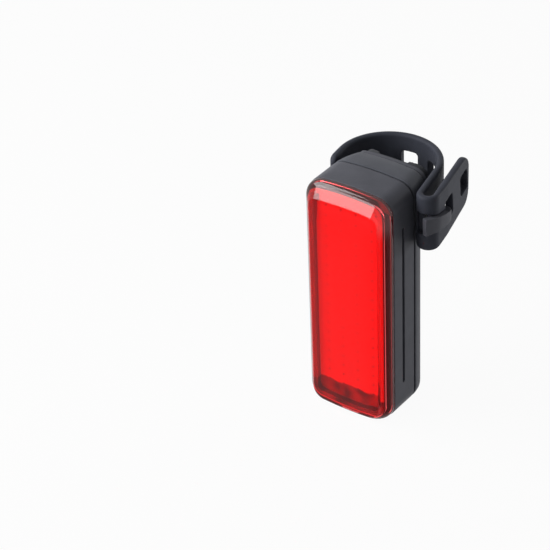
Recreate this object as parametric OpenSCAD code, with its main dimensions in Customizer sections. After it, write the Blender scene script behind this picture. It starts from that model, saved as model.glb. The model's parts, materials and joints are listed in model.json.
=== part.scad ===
/* [Body] */

// Width of the light across the lens
body_w = 26; // [24:0.5:30]
// Height of the light
body_h = 69.7; // [64:0.5:78]
// Corner radius in the front view
corner_r = 5; // [4.4:0.1:6]
// Rise of the arched top and bottom edges
crown = 1; // [0.6:0.1:1.6]
// Depth of the front housing between its two seams
housing_d = 9.4; // [9.4:0.1:11]
// Depth of the lens in front of the housing
lens_d = 4.75; // [4:0.25:6]
// Depth of the back cover
cover_d = 7.5; // [7.5:0.1:9]
// Wall thickness of housing and cover
wall = 1.7; // [1.4:0.1:2]
// Height that is cut off the lower arch to give a flat foot
foot_cut = 0.2; // [0.15:0.05:0.4]

/* [Strap] */

// Width of the rubber strap
strap_w = 16; // [14:0.5:17]
// Thickness of the rubber strap
strap_t = 1.9; // [1.6:0.1:2.4]
// Height of the strap's middle above the foot
strap_z = 59.6; // [56:0.2:60]
// Middle radius of the loop behind the light
loop_r = 13.5; // [13:0.25:16]
// Middle radius of the fold in front of the hook
fold_r = 2.15; // [2:0.05:2.6]
// Length of the loose tail behind the fold
tail_l = 20; // [19.5:0.5:24]
// Length of each adjustment slot along the strap
slot_l = 4.8; // [4.6:0.1:5.4]
// Height of each adjustment slot
slot_h = 6.2; // [6:0.1:7]

/* [Hook and pad] */

// Height of the hook's arm
hook_h = 3.2; // [3:0.1:4.2]
// Thickness of the hook's tongue
hook_t = 1.5; // [1.3:0.1:2]
// Half width of the saddle pad
pad_hw = 9.6; // [8:0.1:10]
// Radius of the hollow in the saddle pad
pad_r = 24; // [18:1:30]

/* [Controls] */

// Length of the power button
button_l = 11.6; // [9:0.2:13]
// Width of the power button
button_w = 4; // [3.4:0.1:4.4]
// Travel of the power button
button_travel = 0.5; // [0.3:0.05:0.6]
// Height of the power button's middle above the foot
button_z = 45; // [40:0.5:46]
// Height of the charging port's middle above the foot
port_z = 20; // [18:0.5:24]
// Length of the port cover
flap_l = 13.4; // [12:0.2:15]
// Width of the port cover
flap_w = 5; // [4.6:0.1:5.4]

/* [Clearances] */

// Gap between pieces that move against each other
gap = 0.3; // [0.25:0.05:0.4]
// Gap between fixed pieces that only sit near each other
seat = 0.1; // [0.05:0.05:0.15]
// Radial gap of a pin in its bore
pin_fit = 0.03; // [0.02:0.01:0.05]

/* [Hidden] */

$fn = 48;
e = 0.02;
y_seam = -housing_d / 2;
y_rear = housing_d / 2;
seal_t = 0.4;
y_rim = y_rear + seal_t;
y_back = y_rim + cover_d;
hw = body_w / 2;
crown_r = (hw * hw + crown * crown) / (2 * crown);
z_mid = body_h / 2 - foot_cut;
z_top = body_h - foot_cut;
// stack behind the lens
y_ledge = y_seam + 0.3;
diff_t = 1.2;
ledge_t = 0.5;
board_t = 1;
y_led = y_ledge + ledge_t;
y_shelf = y_led + board_t;
shelf_t = 0.8;
y_main = y_shelf + shelf_t;
y_parts = y_main + board_t;
inner_x = hw - wall;
// chips on the light board, the first and last rows this far from the ends
chip_w = 1;
chip_t = 0.35;
chip_pitch = (inner_x - 2.1) / 2;
chip_end = 7.5;
// main board and what stands on it
board_z0 = 10.6;
board_z1 = z_top - board_z0;
contact_r = 0.5;
contact_z = (board_z0 + board_z1) / 2 - 0.75;
// charging port and switch sit on the main board's left edge
usb_w = 7.5;
usb_t = 2.5;
usb_l = 5;
y_ctl = y_parts + usb_t / 2;
tact_w = 4.6;
tact_t = 2.1;
tact_x = -hw + 3.5;
flange_t = 0.6;
flange_x = -inner_x + gap;
// case screws
boss_x = 7.4;
boss_lo = 4.1;
boss_hi = z_top - 4.1;
boss_r = 2.2;
screw_r = 1;
head_r = 1.6;
y_head = y_back - 2.3;
// battery behind the main board
cell_hw = 7.6;
cell_z0 = 10;
cell_z1 = 46;
cell_y0 = y_parts + usb_t + 0.5;
cell_y1 = y_back - wall - 1.5;
// shoulder of the cover beside the strap, its rear edge and the heights at which it starts
y_lip = y_back - 0.5;
shoulder_z0 = strap_z - strap_w / 2 - 4.6;
shoulder_z1 = shoulder_z0 + 3;
// flat that trims the cover's upper left corner beside the strap's root
trim_x = -hw + 1.6;
trim_a = 23;
trim_z = strap_z + 5.8;
// eye of the strap in the left side of the cover
eye_x = -hw + 2.2;
eye_y = y_rim + 3.1;
eye_r = 2.3;
pin_r = 1;
eye_z0 = strap_z - strap_w / 2;
eye_z1 = strap_z + 3;
notch_x = eye_x + eye_r + seat;
notch_y0 = eye_y - eye_r - seat;
notch_y1 = eye_y + eye_r + seat;
// strap path, seen from above
tail_a = 11.5;
tail_t = strap_t + 0.3;
half_t = strap_t / 2;
strap_x = hw + gap + half_t + 0.1;
fold_y = y_rear + 0.8;
root_x = -hw - half_t - seat / 2;
root_y = y_rim + 1.9;
// the loop's circle, with the two runs at its sides tangent to it
loop_dip = 11.865;
loop_x = -1.31;
loop_y = y_back + loop_r - loop_dip;
band_d = norm([strap_x - loop_x, fold_y - loop_y]);
band_a = atan2(fold_y - loop_y, strap_x - loop_x) + acos(loop_r / band_d);
root_d = norm([root_x - loop_x, root_y - loop_y]);
root_a = atan2(loop_y - root_y, loop_x - root_x) - acos(loop_r / root_d);
run_x = loop_x + loop_r * cos(band_a);
run_y = loop_y + loop_r * sin(band_a);
fold_cx = strap_x + fold_r * cos(band_a);
fold_cy = fold_y + fold_r * sin(band_a);
tail_x = fold_cx + fold_r * cos(tail_a);
tail_y = fold_cy + fold_r * sin(tail_a);
hinge_x = loop_x - loop_r * cos(root_a);
hinge_y = loop_y - loop_r * sin(root_a);
root_l = sqrt(root_d * root_d - loop_r * loop_r);
strap_z0 = strap_z - strap_w / 2;
strap_z1 = strap_z + strap_w / 2;
// hook arm passes the slots at this depth
slot_c = 6.1;
slot_f = 5.9;
arm_t = 1.8;
// tail and its slots rise by this much per length
tail_rise = 0.125;
slot_d = slot_c + 10.4;
arm_y = tail_y + (slot_c - slot_l / 2 + gap) * cos(tail_a) + arm_t / 2;
tongue_x = fold_cx + fold_r;
hook_z0 = strap_z - 2;
hook_z1 = hook_z0 + hook_h;
tongue_z1 = hook_z1 + 1.7;
// bracket and pad
plate_t = 1.2;
y_plate = y_back + plate_t;
plate_hw = pad_hw - 0.5;
lip_in = 1.8;
pad_z0 = strap_z0 - 4;
pad_mid = 1;
pad_t = 3;
bolt_lo = pad_z0 + 4;
bolt_hi = strap_z + 1;
// port cover
flap_t = 0.9;
flap_x = -hw - 0.1;
flap_top = port_z + flap_l / 2;
knuckle_r = flap_t / 2;
flap_ax = flap_x + knuckle_r;
flap_az = flap_top - knuckle_r;
flap_y = y_ctl;
recess_d = flap_t - 0.1 + gap;

// outer rows of the back cover: inset across, at the top, depth, at the bottom, and at the shoulder
cover_rows = [
    [0.1, 0.02, y_rim + cover_d * 0.17, 0.02, 0.1],
    [0.55, 0.1, y_rim + cover_d * 0.41, 0.1, 0.45],
    [1.6, 0.3, y_rim + cover_d * 0.65, 0.3, 0.95],
    [3, 0.75, y_lip, 0.75, 1.4],
    [3.2, 2.2, y_lip + 0.05, 0.8, 3.1],
    [3.7, 2.4, y_back, 1.2, 3.7]
];

function arc_pts(cx, cz, r, a0, a1, n) = [
    for (i = [0:n])
        let (a = a0 + (a1 - a0) * i / n)
        [cx + r * cos(a), cz + r * sin(a)]
];

// right to left over the top edge, for an outline set in by ix and iz
function upper(ix, iz) =
    let (w = hw - ix)
    let (zt = body_h / 2 - iz)
    let (r = max(corner_r - min(ix, iz), 1.2))
    let (rc = crown_r)
    let (xc = w - r)
    let (zc = zt - rc + sqrt((rc - r) * (rc - r) - xc * xc))
    let (a = atan2(zc - zt + rc, xc))
    let (top = arc_pts(0, zt - rc, rc, a, 180 - a, 10))
    concat(
        arc_pts(xc, zc, r, 0, a, 7),
        [for (i = [1:9]) top[i]],
        arc_pts(-xc, zc, r, 180 - a, 180, 7)
    );

// lower edge from left to right, set in by ix and iz
function lower(ix, iz) =
    let (u = upper(ix, iz))
    [for (i = [len(u) - 1:-1:0]) [u[i][0], -u[i][1]]];

function outline(ix, iz) = concat(upper(ix, iz), lower(ix, iz));

// outline with its own insets at the bottom and at the shoulders
function shaped(ix, iz, ib, is) =
    concat(
        upper(is, iz),
        [[is - hw, shoulder_z1 - z_mid], [ix - hw, shoulder_z0 - z_mid]],
        lower(ix, ib),
        [[hw - ix, shoulder_z0 - z_mid], [hw - is, shoulder_z1 - z_mid]]
    );

function ring(s) =
    let (o = len(s) > 4 ? shaped(s[0], s[1], s[3], s[4])
        : concat(upper(s[0], s[1]), lower(s[0], len(s) > 3 ? s[3] : s[1])))
    [for (p = o) [p[0], s[2], p[1] + z_mid]];

// skin over a row of rings, each [inset across, inset at the top, depth], with further insets for some
module loft(rows) {
    rings = [for (s = rows) ring(s)];
    n = len(rings[0]);
    m = len(rings);
    side = [
        for (j = [0:m - 2], i = [0:n - 1], t = [0, 1])
            let (a = j * n + i)
            let (b = j * n + (i + 1) % n)
            let (c = (j + 1) * n + (i + 1) % n)
            let (d = (j + 1) * n + i)
            t == 0 ? [a, b, c] : [a, c, d]
    ];
    // each end is a fan from its middle, so that points along a straight side stay joined
    ends = [[0, rows[0][2], z_mid], [0, rows[m - 1][2], z_mid]];
    caps = [
        for (i = [0:n - 1], t = [0, 1])
            let (j = (i + 1) % n)
            t == 0 ? [m * n, j, i] : [m * n + 1, (m - 1) * n + i, (m - 1) * n + j]
    ];
    polyhedron(concat([for (r = rings) each r], ends), concat(side, caps), convexity = 8);
}

// straight body of the outline between two depths
module slab(ix, iz, y0, y1) {
    translate([0, y1, z_mid])
        rotate([90, 0, 0])
            linear_extrude(y1 - y0)
                polygon(outline(ix, iz));
}

module frame_ring(o, i, y0, y1) {
    difference() {
        slab(o, o, y0, y1);
        slab(i, i, y0 - 1, y1 + 1);
    }
}

module box(x0, x1, y0, y1, z0, z1) {
    translate([x0, y0, z0])
        cube([x1 - x0, y1 - y0, z1 - z0]);
}

module rod_y(x, z, r, y0, y1) {
    translate([x, y0, z])
        rotate([-90, 0, 0])
            cylinder(h = y1 - y0, r = r);
}

module rod_z(x, y, r, z0, z1) {
    translate([x, y, z0])
        cylinder(h = z1 - z0, r = r);
}

// long round-ended bar that runs through the side wall
module stadium_x(x0, x1, y, z, l, w) {
    box(x0, x1, y - w / 2, y + w / 2, z - (l - w) / 2, z + (l - w) / 2);
    for (s = [-1, 1])
        translate([x0, y, z + s * (l - w) / 2])
            rotate([0, 90, 0])
                cylinder(h = x1 - x0, d = w);
}

module foot_plane() {
    box(-40, 40, -40, 60, -10, 0);
}

module lens() {
    d = lens_d;
    w = wall;
    color([0.8, 0.05, 0.08, 0.6])
        difference() {
            loft([
                [10, 20, y_seam - d, 20],
                [6, 10, y_seam - d + 0.1, 8],
                [2.6, 4.4, y_seam - d + 0.45, 1.7],
                [1.2, 2.2, y_seam - d * 0.72, 0.55],
                [0.4, 0.7, y_seam - d * 0.47, 0.3],
                [0.1, 0.15, y_seam - d * 0.24, 0.15],
                [0.1, 0.15, y_seam, 0.15],
                [w, w, y_seam, w],
                [w, w, y_seam - d * 0.26, w],
                [w + 0.7, w + 1.3, y_seam - d * 0.46, w + 0.4],
                [w + 1.9, w + 3.3, y_seam - d + w + 0.3, w + 1.2],
                [10, 20, y_seam - d + w, 20]
            ]);
            foot_plane();
        }
}

module light_frame() {
    color([0.1, 0.1, 0.11])
        union() {
            frame_ring(wall + 0.15, wall + 0.95, y_ledge - diff_t - 0.3, y_ledge);
            frame_ring(wall + 0.15, wall + 1.7, y_ledge, y_led);
        }
}

module diffuser() {
    color([0.95, 0.08, 0.1])
        slab(wall + 1, wall + 1, y_ledge - diff_t, y_ledge);
}

module led_board() {
    color([0.9, 0.9, 0.88])
        slab(wall + 0.2, wall + 0.2, y_led, y_shelf);
}

module led_chips() {
    rows = 19;
    step = (z_top - 2 * chip_end) / (rows - 1);
    color([0.95, 0.75, 0.3])
        for (i = [0:rows - 1], j = [-1.5:1:1.5])
            translate([j * chip_pitch - chip_w / 2, y_led - chip_t, chip_end + i * step - chip_w / 2])
                cube([chip_w, chip_t, chip_w]);
}

module housing_shell() {
    frame_ring(0, wall, y_seam, y_rear);
    difference() {
        frame_ring(wall - 0.3, wall + 1.6, y_shelf, y_main);
        box(-hw, -5, y_shelf - 1, y_main + 1, 11, z_top - 11);
    }
    difference() {
        for (x = [-boss_x, boss_x], z = [boss_lo, boss_hi])
            rod_y(x, z, boss_r, y_shelf, y_rear);
        frame_ring(-3, wall - 0.3, y_seam - 1, y_rear + 1);
    }
}

module front_housing() {
    color([0.2, 0.2, 0.22])
        difference() {
            housing_shell();
            foot_plane();
            for (x = [-boss_x, boss_x], z = [boss_lo, boss_hi])
                rod_y(x, z, screw_r + pin_fit, y_shelf + 1, y_rear + 1);
            box(hw - 0.6, hw + 1, -0.9, 0.1, 10.4, z_top - 10.5);
            stadium_x(-hw - 1, -inner_x + 1, y_ctl, button_z, button_l + 2 * gap, button_w + 2 * gap);
            box(-hw - 1, -hw + recess_d, flap_y - flap_w / 2 - gap, flap_y + flap_w / 2 + gap,
                port_z - flap_l / 2 - gap, flap_top + 1.6);
            box(-hw - 1, -inner_x + 1, y_ctl - 1.9, y_ctl + 1.9, port_z - 4.6, port_z + 4.2);
        }
}

module case_seal() {
    color([0.05, 0.05, 0.05])
        difference() {
            frame_ring(0.4, wall - 0.1, y_rear, y_rim);
            foot_plane();
        }
}

module cover_shell() {
    w = wall;
    d = cover_d;
    loft([
        [w + 3.6, w + 1.6, y_back - w, w + 1.6, w + 3.2],
        [w + 2.2, w + 0.8, y_back - w - 0.8, w + 0.8, w + 1.7],
        [w + 0.9, w + 0.2, y_back - d * 0.5, w + 0.2, w + 0.7],
        [w, w, y_rim + d * 0.2, w, w],
        [w, w, y_rim, w, w],
        [0, 0, y_rim, 0, 0],
        each cover_rows
    ]);
}

// room inside the cover's outer skin, for its bosses and the strap's bearing block
module cover_fill() {
    rows = [for (r = cover_rows) [r[0] + 0.4, r[1] + 0.4, r[2] - 0.3, r[3] + 0.4, r[4] + 0.4]];
    loft(concat([[0.4, 0.4, y_rim - 1, 0.4, 0.4]], rows));
}

// what is trimmed off the upper left corner
module corner_trim() {
    translate([trim_x, y_rim + 0.2, trim_z])
        rotate([0, 0, -trim_a])
            translate([-20, 0, 0])
                cube([20, 20, 20]);
}

// clearance for the hook's arm behind the right shoulder
module arm_pocket() {
    translate([0, 0, hook_z0 - gap])
        linear_extrude(hook_h + 2 * gap)
            polygon([
                [plate_hw, y_back + 1],
                [plate_hw, y_back - 0.1],
                [plate_hw + 0.3, y_back - 0.4],
                [strap_x - half_t - 0.9, arm_y - 0.85],
                [hw + 2, arm_y - 0.85],
                [hw + 2, y_back + 1]
            ]);
}

module cover_solid() {
    cover_shell();
    intersection() {
        cover_fill();
        union() {
            for (x = [-boss_x, boss_x], z = [boss_lo, boss_hi])
                rod_y(x, z, boss_r + 0.4, y_rim, y_back - 1);
            box(-hw - 1, notch_x + 1.2, y_rim + 0.3, notch_y1 + 1.2, eye_z0 - 2.2, eye_z1 + 2.2);
        }
    }
    for (z = [bolt_lo, bolt_hi])
        rod_y(0, z, 2.4, y_back - 3.6, y_back - 1);
}

module back_cover() {
    color([0.24, 0.24, 0.26])
        difference() {
            cover_solid();
            foot_plane();
            corner_trim();
            arm_pocket();
            for (x = [-boss_x, boss_x], z = [boss_lo, boss_hi]) {
                rod_y(x, z, screw_r + pin_fit, y_rim - 1, y_back);
                rod_y(x, z, head_r + seat, y_head, y_back + 1);
            }
            for (z = [bolt_lo, bolt_hi])
                rod_y(0, z, screw_r + pin_fit, y_back - 4, y_back + 1);
            box(-hw - 1, notch_x, notch_y0, notch_y1, eye_z0 - seat, eye_z1 + seat);
            rod_z(eye_x, eye_y, pin_r + pin_fit, eye_z0 - 1.6, eye_z1 + 1.6);
        }
}

module screw_y(x, z, y0, y1, head) {
    rod_y(x, z, screw_r, y0, y1 + e);
    difference() {
        rod_y(x, z, head_r, y1, y1 + head);
        translate([x, y1 + head - 0.5, z])
            for (a = [0, 90])
                rotate([0, a, 0])
                    translate([-1, 0, -0.22])
                        cube([2, 1, 0.44]);
    }
}

module case_screws() {
    color([0.7, 0.71, 0.74])
        for (x = [-boss_x, boss_x], z = [boss_lo, boss_hi])
            screw_y(x, z, y_shelf + 1.4, y_head, 1.4);
}

module main_board() {
    color([0.1, 0.36, 0.2])
        difference() {
            box(-inner_x + 0.4, inner_x - 0.4, y_main, y_parts, board_z0, board_z1);
            box(-hw, tact_x, y_main - 1, y_parts + 1, button_z - 7.6, button_z + 7.6);
        }
}

// part soldered on the main board: middle across, middle above the board's end, width, height, thickness
module on_board(x, z, w, h, t) {
    box(x - w / 2, x + w / 2, y_parts, y_parts + t, board_z0 + z - h / 2, board_z0 + z + h / 2);
}

module board_parts() {
    color([0.12, 0.12, 0.13])
        union() {
            on_board(3.5, 29.9, 5, 5, usb_t * 0.44);
            on_board(-1.25, 20.9, 3.5, 3, usb_t * 0.36);
            on_board(5, 15.4, 4, 4, usb_t * 0.8);
            on_board(-3.6, 7.9, 2, 3, usb_t * 0.32);
            on_board(5, 40.7, 6, 4.5, usb_t * 0.88);
        }
}

module contact_pins() {
    color([0.85, 0.7, 0.3])
        for (i = [-1.5:1:1.5])
            rod_y(i * 2.6, contact_z, contact_r, y_shelf, y_main);
}

module usb_socket() {
    x0 = -inner_x + 0.1;
    color([0.78, 0.79, 0.81])
        difference() {
            box(x0, x0 + usb_l, y_parts, y_parts + usb_t, port_z - usb_w / 2, port_z + usb_w / 2);
            box(x0 - 1, x0 + usb_l - 0.4, y_parts + 0.3, y_parts + usb_t - 0.3,
                port_z - usb_w / 2 + 0.3, port_z + usb_w / 2 - 0.3);
        }
}

module usb_tongue() {
    x0 = -inner_x + 0.1;
    color([0.1, 0.1, 0.1])
        box(x0 + 0.8, x0 + usb_l - 0.4, y_ctl + 0.1, y_ctl + 0.65, port_z - 1.9, port_z + 1.9);
}

module tact_switch() {
    color([0.15, 0.15, 0.16])
        difference() {
            box(tact_x, tact_x + 3.2, y_parts, y_parts + tact_t,
                button_z - tact_w / 2, button_z + tact_w / 2);
            box(tact_x - 1, tact_x + 1.6, y_ctl - 0.9, y_ctl + 0.5, button_z - 1.2, button_z + 1.2);
        }
}

module switch_plunger() {
    x0 = flange_x + flange_t;
    color([0.8, 0.75, 0.6])
        box(x0, tact_x + 0.7, y_ctl - 0.6, y_ctl + 0.2, button_z - 0.9, button_z + 0.9);
}

module power_button() {
    color([0.08, 0.08, 0.09])
        union() {
            stadium_x(-hw - 0.4, flange_x + 0.1, y_ctl, button_z, button_l, button_w);
            stadium_x(flange_x, flange_x + flange_t, y_ctl, button_z, button_l + 1.6, button_w + 1.4);
        }
}

module port_cover() {
    color([0.1, 0.1, 0.11])
        union() {
            box(flap_x, flap_x + flap_t, flap_y - flap_w / 2, flap_y + flap_w / 2,
                port_z - flap_l / 2, flap_az);
            rod_y(flap_ax, flap_az, knuckle_r, flap_y - flap_w / 2, flap_y + flap_w / 2);
            box(flap_x + flap_t - e, flap_x + flap_t + 0.7, y_ctl - 1.4, y_ctl + 1.4,
                port_z - 3.9, port_z + 3.6);
        }
}

module port_tether() {
    color([0.1, 0.1, 0.11])
        box(-hw - 0.1, -hw + recess_d, flap_y - flap_w / 2, flap_y + flap_w / 2,
            flap_az + knuckle_r + gap, flap_top + 1.6);
}

module battery_cell() {
    color([0.62, 0.64, 0.68])
        union() {
            box(-cell_hw, cell_hw, cell_y0, cell_y1, cell_z0, cell_z1 - 2);
            box(-cell_hw + 0.6, cell_hw - 0.6, cell_y0 + 0.6, cell_y0 + 3, cell_z1 - 2, cell_z1);
        }
}

module battery_pad() {
    color([0.2, 0.2, 0.2])
        box(-5.6, 5.6, cell_y1, y_back - wall, cell_z0 + 4, cell_z1 - 6);
}

module battery_leads() {
    color([0.75, 0.1, 0.1])
        for (x = [-1.6, 1.6]) {
            rod_z(x, cell_y0 + 1.8, 0.45, cell_z1, cell_z1 + 1.5);
            translate([x, cell_y0 + 1.8, cell_z1 + 1.5])
                sphere(r = 0.45);
            rod_y(x, cell_z1 + 1.5, 0.45, y_parts, cell_y0 + 1.8);
        }
}

// hook seen from above: arm behind the cover, root through the slots, tongue in front of them
module hook_plan() {
    x = tongue_x;
    t = hook_t;
    polygon([
        [plate_hw - 1.5, y_back],
        [plate_hw + 0.4, y_back],
        [strap_x - half_t - 0.9, arm_y - 0.4],
        [strap_x - 0.4, arm_y - arm_t / 2],
        [x - 0.3, arm_y - arm_t / 2],
        [x + 0.1, arm_y - arm_t / 2 - 0.8],
        [x + 0.3, tail_y + 0.5],
        [x, fold_cy - 1.2],
        [x - 1, fold_cy - fold_r - 2.3],
        [x + 0.4, fold_cy - fold_r - 2.8],
        [x + t + 0.1, fold_cy - 1.4],
        [x + t + 0.3, tail_y + 0.6],
        [x + t + 0.1, arm_y - 0.8],
        [x + t - 0.3, arm_y + 0.3],
        [x + t - 1.1, arm_y + arm_t / 2],
        [strap_x - 0.1, arm_y + arm_t / 2],
        [strap_x - half_t - 2.2, y_plate - 0.4],
        [plate_hw - 0.2, y_plate],
        [plate_hw - 1.5, y_plate]
    ]);
}

// what lies above the hook's upper edge, which slopes up along the tongue
module hook_slope(up) {
    rotate([90, 0, 90])
        linear_extrude(60)
            polygon([
                [-20, tongue_z1 + up],
                [fold_cy - fold_r - 2, tongue_z1 + up],
                [arm_y - 1.2, hook_z1 + up],
                [60, hook_z1 + up],
                [60, 120],
                [-20, 120]
            ]);
}

// hollow in the strap's outer face in which the tongue lies
module trough_plan() {
    x = tongue_x - gap;
    polygon([
        [x, arm_y - arm_t / 2],
        [x + 0.1, arm_y - arm_t / 2 - 0.8],
        [x + 0.3, tail_y + 0.5],
        [x, fold_cy - 1.2],
        [x - 1, fold_cy - fold_r - 3],
        [x + 6, fold_cy - fold_r - 3],
        [x + 6, arm_y - arm_t / 2]
    ]);
}

module strap_bracket() {
    color([0.16, 0.16, 0.18])
        difference() {
            union() {
                intersection() {
                    box(-plate_hw, hw, y_back, y_plate, pad_z0 + 0.6, z_top + 1);
                    slab(lip_in, 1.1, y_back - 1, y_plate + 1);
                }
                difference() {
                    translate([0, 0, hook_z0])
                        linear_extrude(tongue_z1 - hook_z0)
                            hook_plan();
                    hook_slope(0);
                }
            }
            for (z = [bolt_lo, bolt_hi]) {
                rod_y(0, z, screw_r + pin_fit, y_back - 1, y_plate + 1);
                rod_y(0, z, head_r + seat, y_plate - 1, y_plate + 1);
            }
        }
}

module bracket_screws() {
    color([0.7, 0.71, 0.74])
        for (z = [bolt_lo, bolt_hi])
            screw_y(0, z, y_back - 3.2, y_plate - 1, 1);
}

// wedge that slopes the pad's lower end off
module pad_slope(z) {
    translate([0, y_plate + pad_mid + 0.2, z])
        rotate([48, 0, 0])
            translate([-20, -1, -10])
                cube([40, 12, 10]);
}

module saddle_pad() {
    color([0.09, 0.09, 0.1])
        intersection() {
            difference() {
                box(-pad_hw, pad_hw, y_plate, y_plate + pad_t, pad_z0, z_top + 1);
                rod_z(0, y_plate + pad_mid + pad_r, pad_r, pad_z0 - 1, z_top + 2);
                box(-4.6, 4.6, y_plate + 0.7, y_plate + 9, pad_z0 - 1, z_top + 2);
                pad_slope(pad_z0);
            }
            slab(hw - pad_hw, 1.3, y_plate - 1, y_plate + 9);
        }
}

module strap_pin() {
    color([0.75, 0.76, 0.78])
        rod_z(eye_x, eye_y, pin_r, eye_z0 - 1.6, eye_z1 + 1.6);
}

module strap_root() {
    color([0.1, 0.1, 0.11])
        difference() {
            union() {
                translate([hinge_x, hinge_y, strap_z0])
                    rotate([0, 0, root_a])
                        linear_extrude(strap_w)
                            polygon(concat(
                                arc_pts(0, half_t - root_l, half_t, 180, 360, 12),
                                [[half_t, 0], [-half_t, 0]]
                            ));
                box(hinge_x + 0.6, eye_x, eye_y - 0.9, eye_y + 1.1, eye_z0, eye_z1);
                rod_z(eye_x, eye_y, eye_r, eye_z0, eye_z1);
            }
            rod_z(eye_x, eye_y, pin_r + pin_fit, strap_z0 - 1, strap_z1 + 1);
            rod_z(hinge_x, hinge_y, half_t + gap, strap_z0 - 1, strap_z1 + 1);
        }
}

// curved stretch of the strap behind the light
module strap_loop() {
    translate([loop_x, loop_y, strap_z0])
        rotate([0, 0, band_a])
            rotate_extrude(angle = 180 + root_a - band_a, $fn = 96)
                translate([loop_r - half_t, 0])
                    square([strap_t, strap_w]);
}

module slot_at(x, y, a, l, h, up = 0) {
    translate([x, y, strap_z + up])
        rotate([0, 0, a])
            cube([8, l, h], center = true);
}

module strap_band() {
    color([0.1, 0.1, 0.11])
        difference() {
            union() {
                strap_loop();
                rod_z(hinge_x, hinge_y, half_t - e, strap_z0, strap_z1);
            }
            for (a = [24, 57.5, 97])
                slot_at(loop_x + loop_r * cos(a), loop_y + loop_r * sin(a), a, slot_l, slot_h);
        }
}

function end_edge(o) = concat(
    [[run_x + o * cos(band_a), run_y + o * sin(band_a)]],
    arc_pts(fold_cx, fold_cy, fold_r - o, 180 + band_a, 360 + tail_a, 20)
);

function tail_pt(x, y) = [
    tail_x + x * cos(tail_a) - y * sin(tail_a),
    tail_y + x * sin(tail_a) + y * cos(tail_a)
];

// straight run, fold and tail, seen from above
module end_plan() {
    inn = end_edge(-half_t);
    n = len(inn);
    polygon(concat(
        end_edge(half_t),
        [tail_pt(-half_t, tail_l), tail_pt(tail_t - half_t, tail_l), tail_pt(tail_t - half_t, 5)],
        [for (i = [n - 1:-1:0]) inn[i]]
    ));
}

// side view of the tail, along its length: both edges rise and the tip is rounded
module tail_side() {
    t1 = tail_l + 0.3;
    lo = strap_z0;
    hi = strap_z1;
    k = tail_rise;
    translate([20, 0, 0])
        rotate([0, -90, 0])
            linear_extrude(40)
                polygon([
                    [lo, -1],
                    [lo, 0.5],
                    [lo + k * (t1 - 3), t1 - 3],
                    [lo + k * t1 + 1, t1 - 1.3],
                    [lo + k * t1 + 3.2, t1],
                    [hi + k * t1 / 3 - 1.8, t1],
                    [hi + k * t1 / 3 - 0.5, t1 - 0.8],
                    [hi + k * (t1 - 2) / 3, t1 - 2],
                    [hi, 0.5],
                    [hi, -1]
                ]);
}

// what the tail's side view leaves off, and what stands above the run and the fold
module tail_trim() {
    translate([tail_x, tail_y, 0])
        rotate([0, 0, tail_a])
            difference() {
                box(-half_t - 0.3, tail_t + 1, 0, tail_l + 3, strap_z0 - 1, strap_z1 + 5);
                tail_side();
            }
    translate([0, 0, strap_z1])
        linear_extrude(5)
            polygon([
                tail_pt(6, 0.3),
                tail_pt(-fold_r, 0.3),
                tail_pt(-fold_r, 30),
                [-30, 40],
                [-30, -30],
                [60, -30]
            ]);
}

module strap_end() {
    color([0.1, 0.1, 0.11])
        difference() {
            translate([0, 0, strap_z0])
                linear_extrude(strap_w + 4)
                    end_plan();
            tail_trim();
            slot_at(strap_x - slot_f * sin(band_a), fold_y + slot_f * cos(band_a), band_a, slot_l, slot_h);
            difference() {
                translate([0, 0, hook_z0 - gap])
                    linear_extrude(tongue_z1 - hook_z0 + 2 * gap)
                        trough_plan();
                hook_slope(gap);
            }
            box(fold_cx - 1.9, fold_cx + 2.2, fold_cy - fold_r - 3, fold_cy - 1.2,
                strap_z - slot_h / 2, strap_z + slot_h / 2);
            for (t = [slot_c, slot_d])
                slot_at(tail_x - t * sin(tail_a), tail_y + t * cos(tail_a), tail_a, slot_l, slot_h,
                    tail_rise * t);
        }
}

lens();
light_frame();
diffuser();
led_board();
led_chips();
front_housing();
case_seal();
back_cover();
case_screws();
main_board();
board_parts();
contact_pins();
usb_socket();
usb_tongue();
tact_switch();
switch_plunger();
power_button();
port_cover();
port_tether();
battery_cell();
battery_pad();
battery_leads();
strap_bracket();
bracket_screws();
saddle_pad();
strap_pin();
strap_root();
strap_band();
strap_end();
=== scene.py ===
"""Looks of an upright bike rear light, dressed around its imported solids.

Lengths in the classes are millimetres in the part's own frame: X to the hook's side, Y to the back, Z up from
the flat foot. Every mesh is shaped in millimetres and brought to metres when it is handed over to its body.
"""

from __future__ import annotations

import json
import logging
import math
from contextlib import contextmanager
from dataclasses import dataclass
from enum import Enum
from typing import Any, Iterator, Sequence

import bmesh
import bpy
from mathutils import Matrix, Vector

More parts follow.
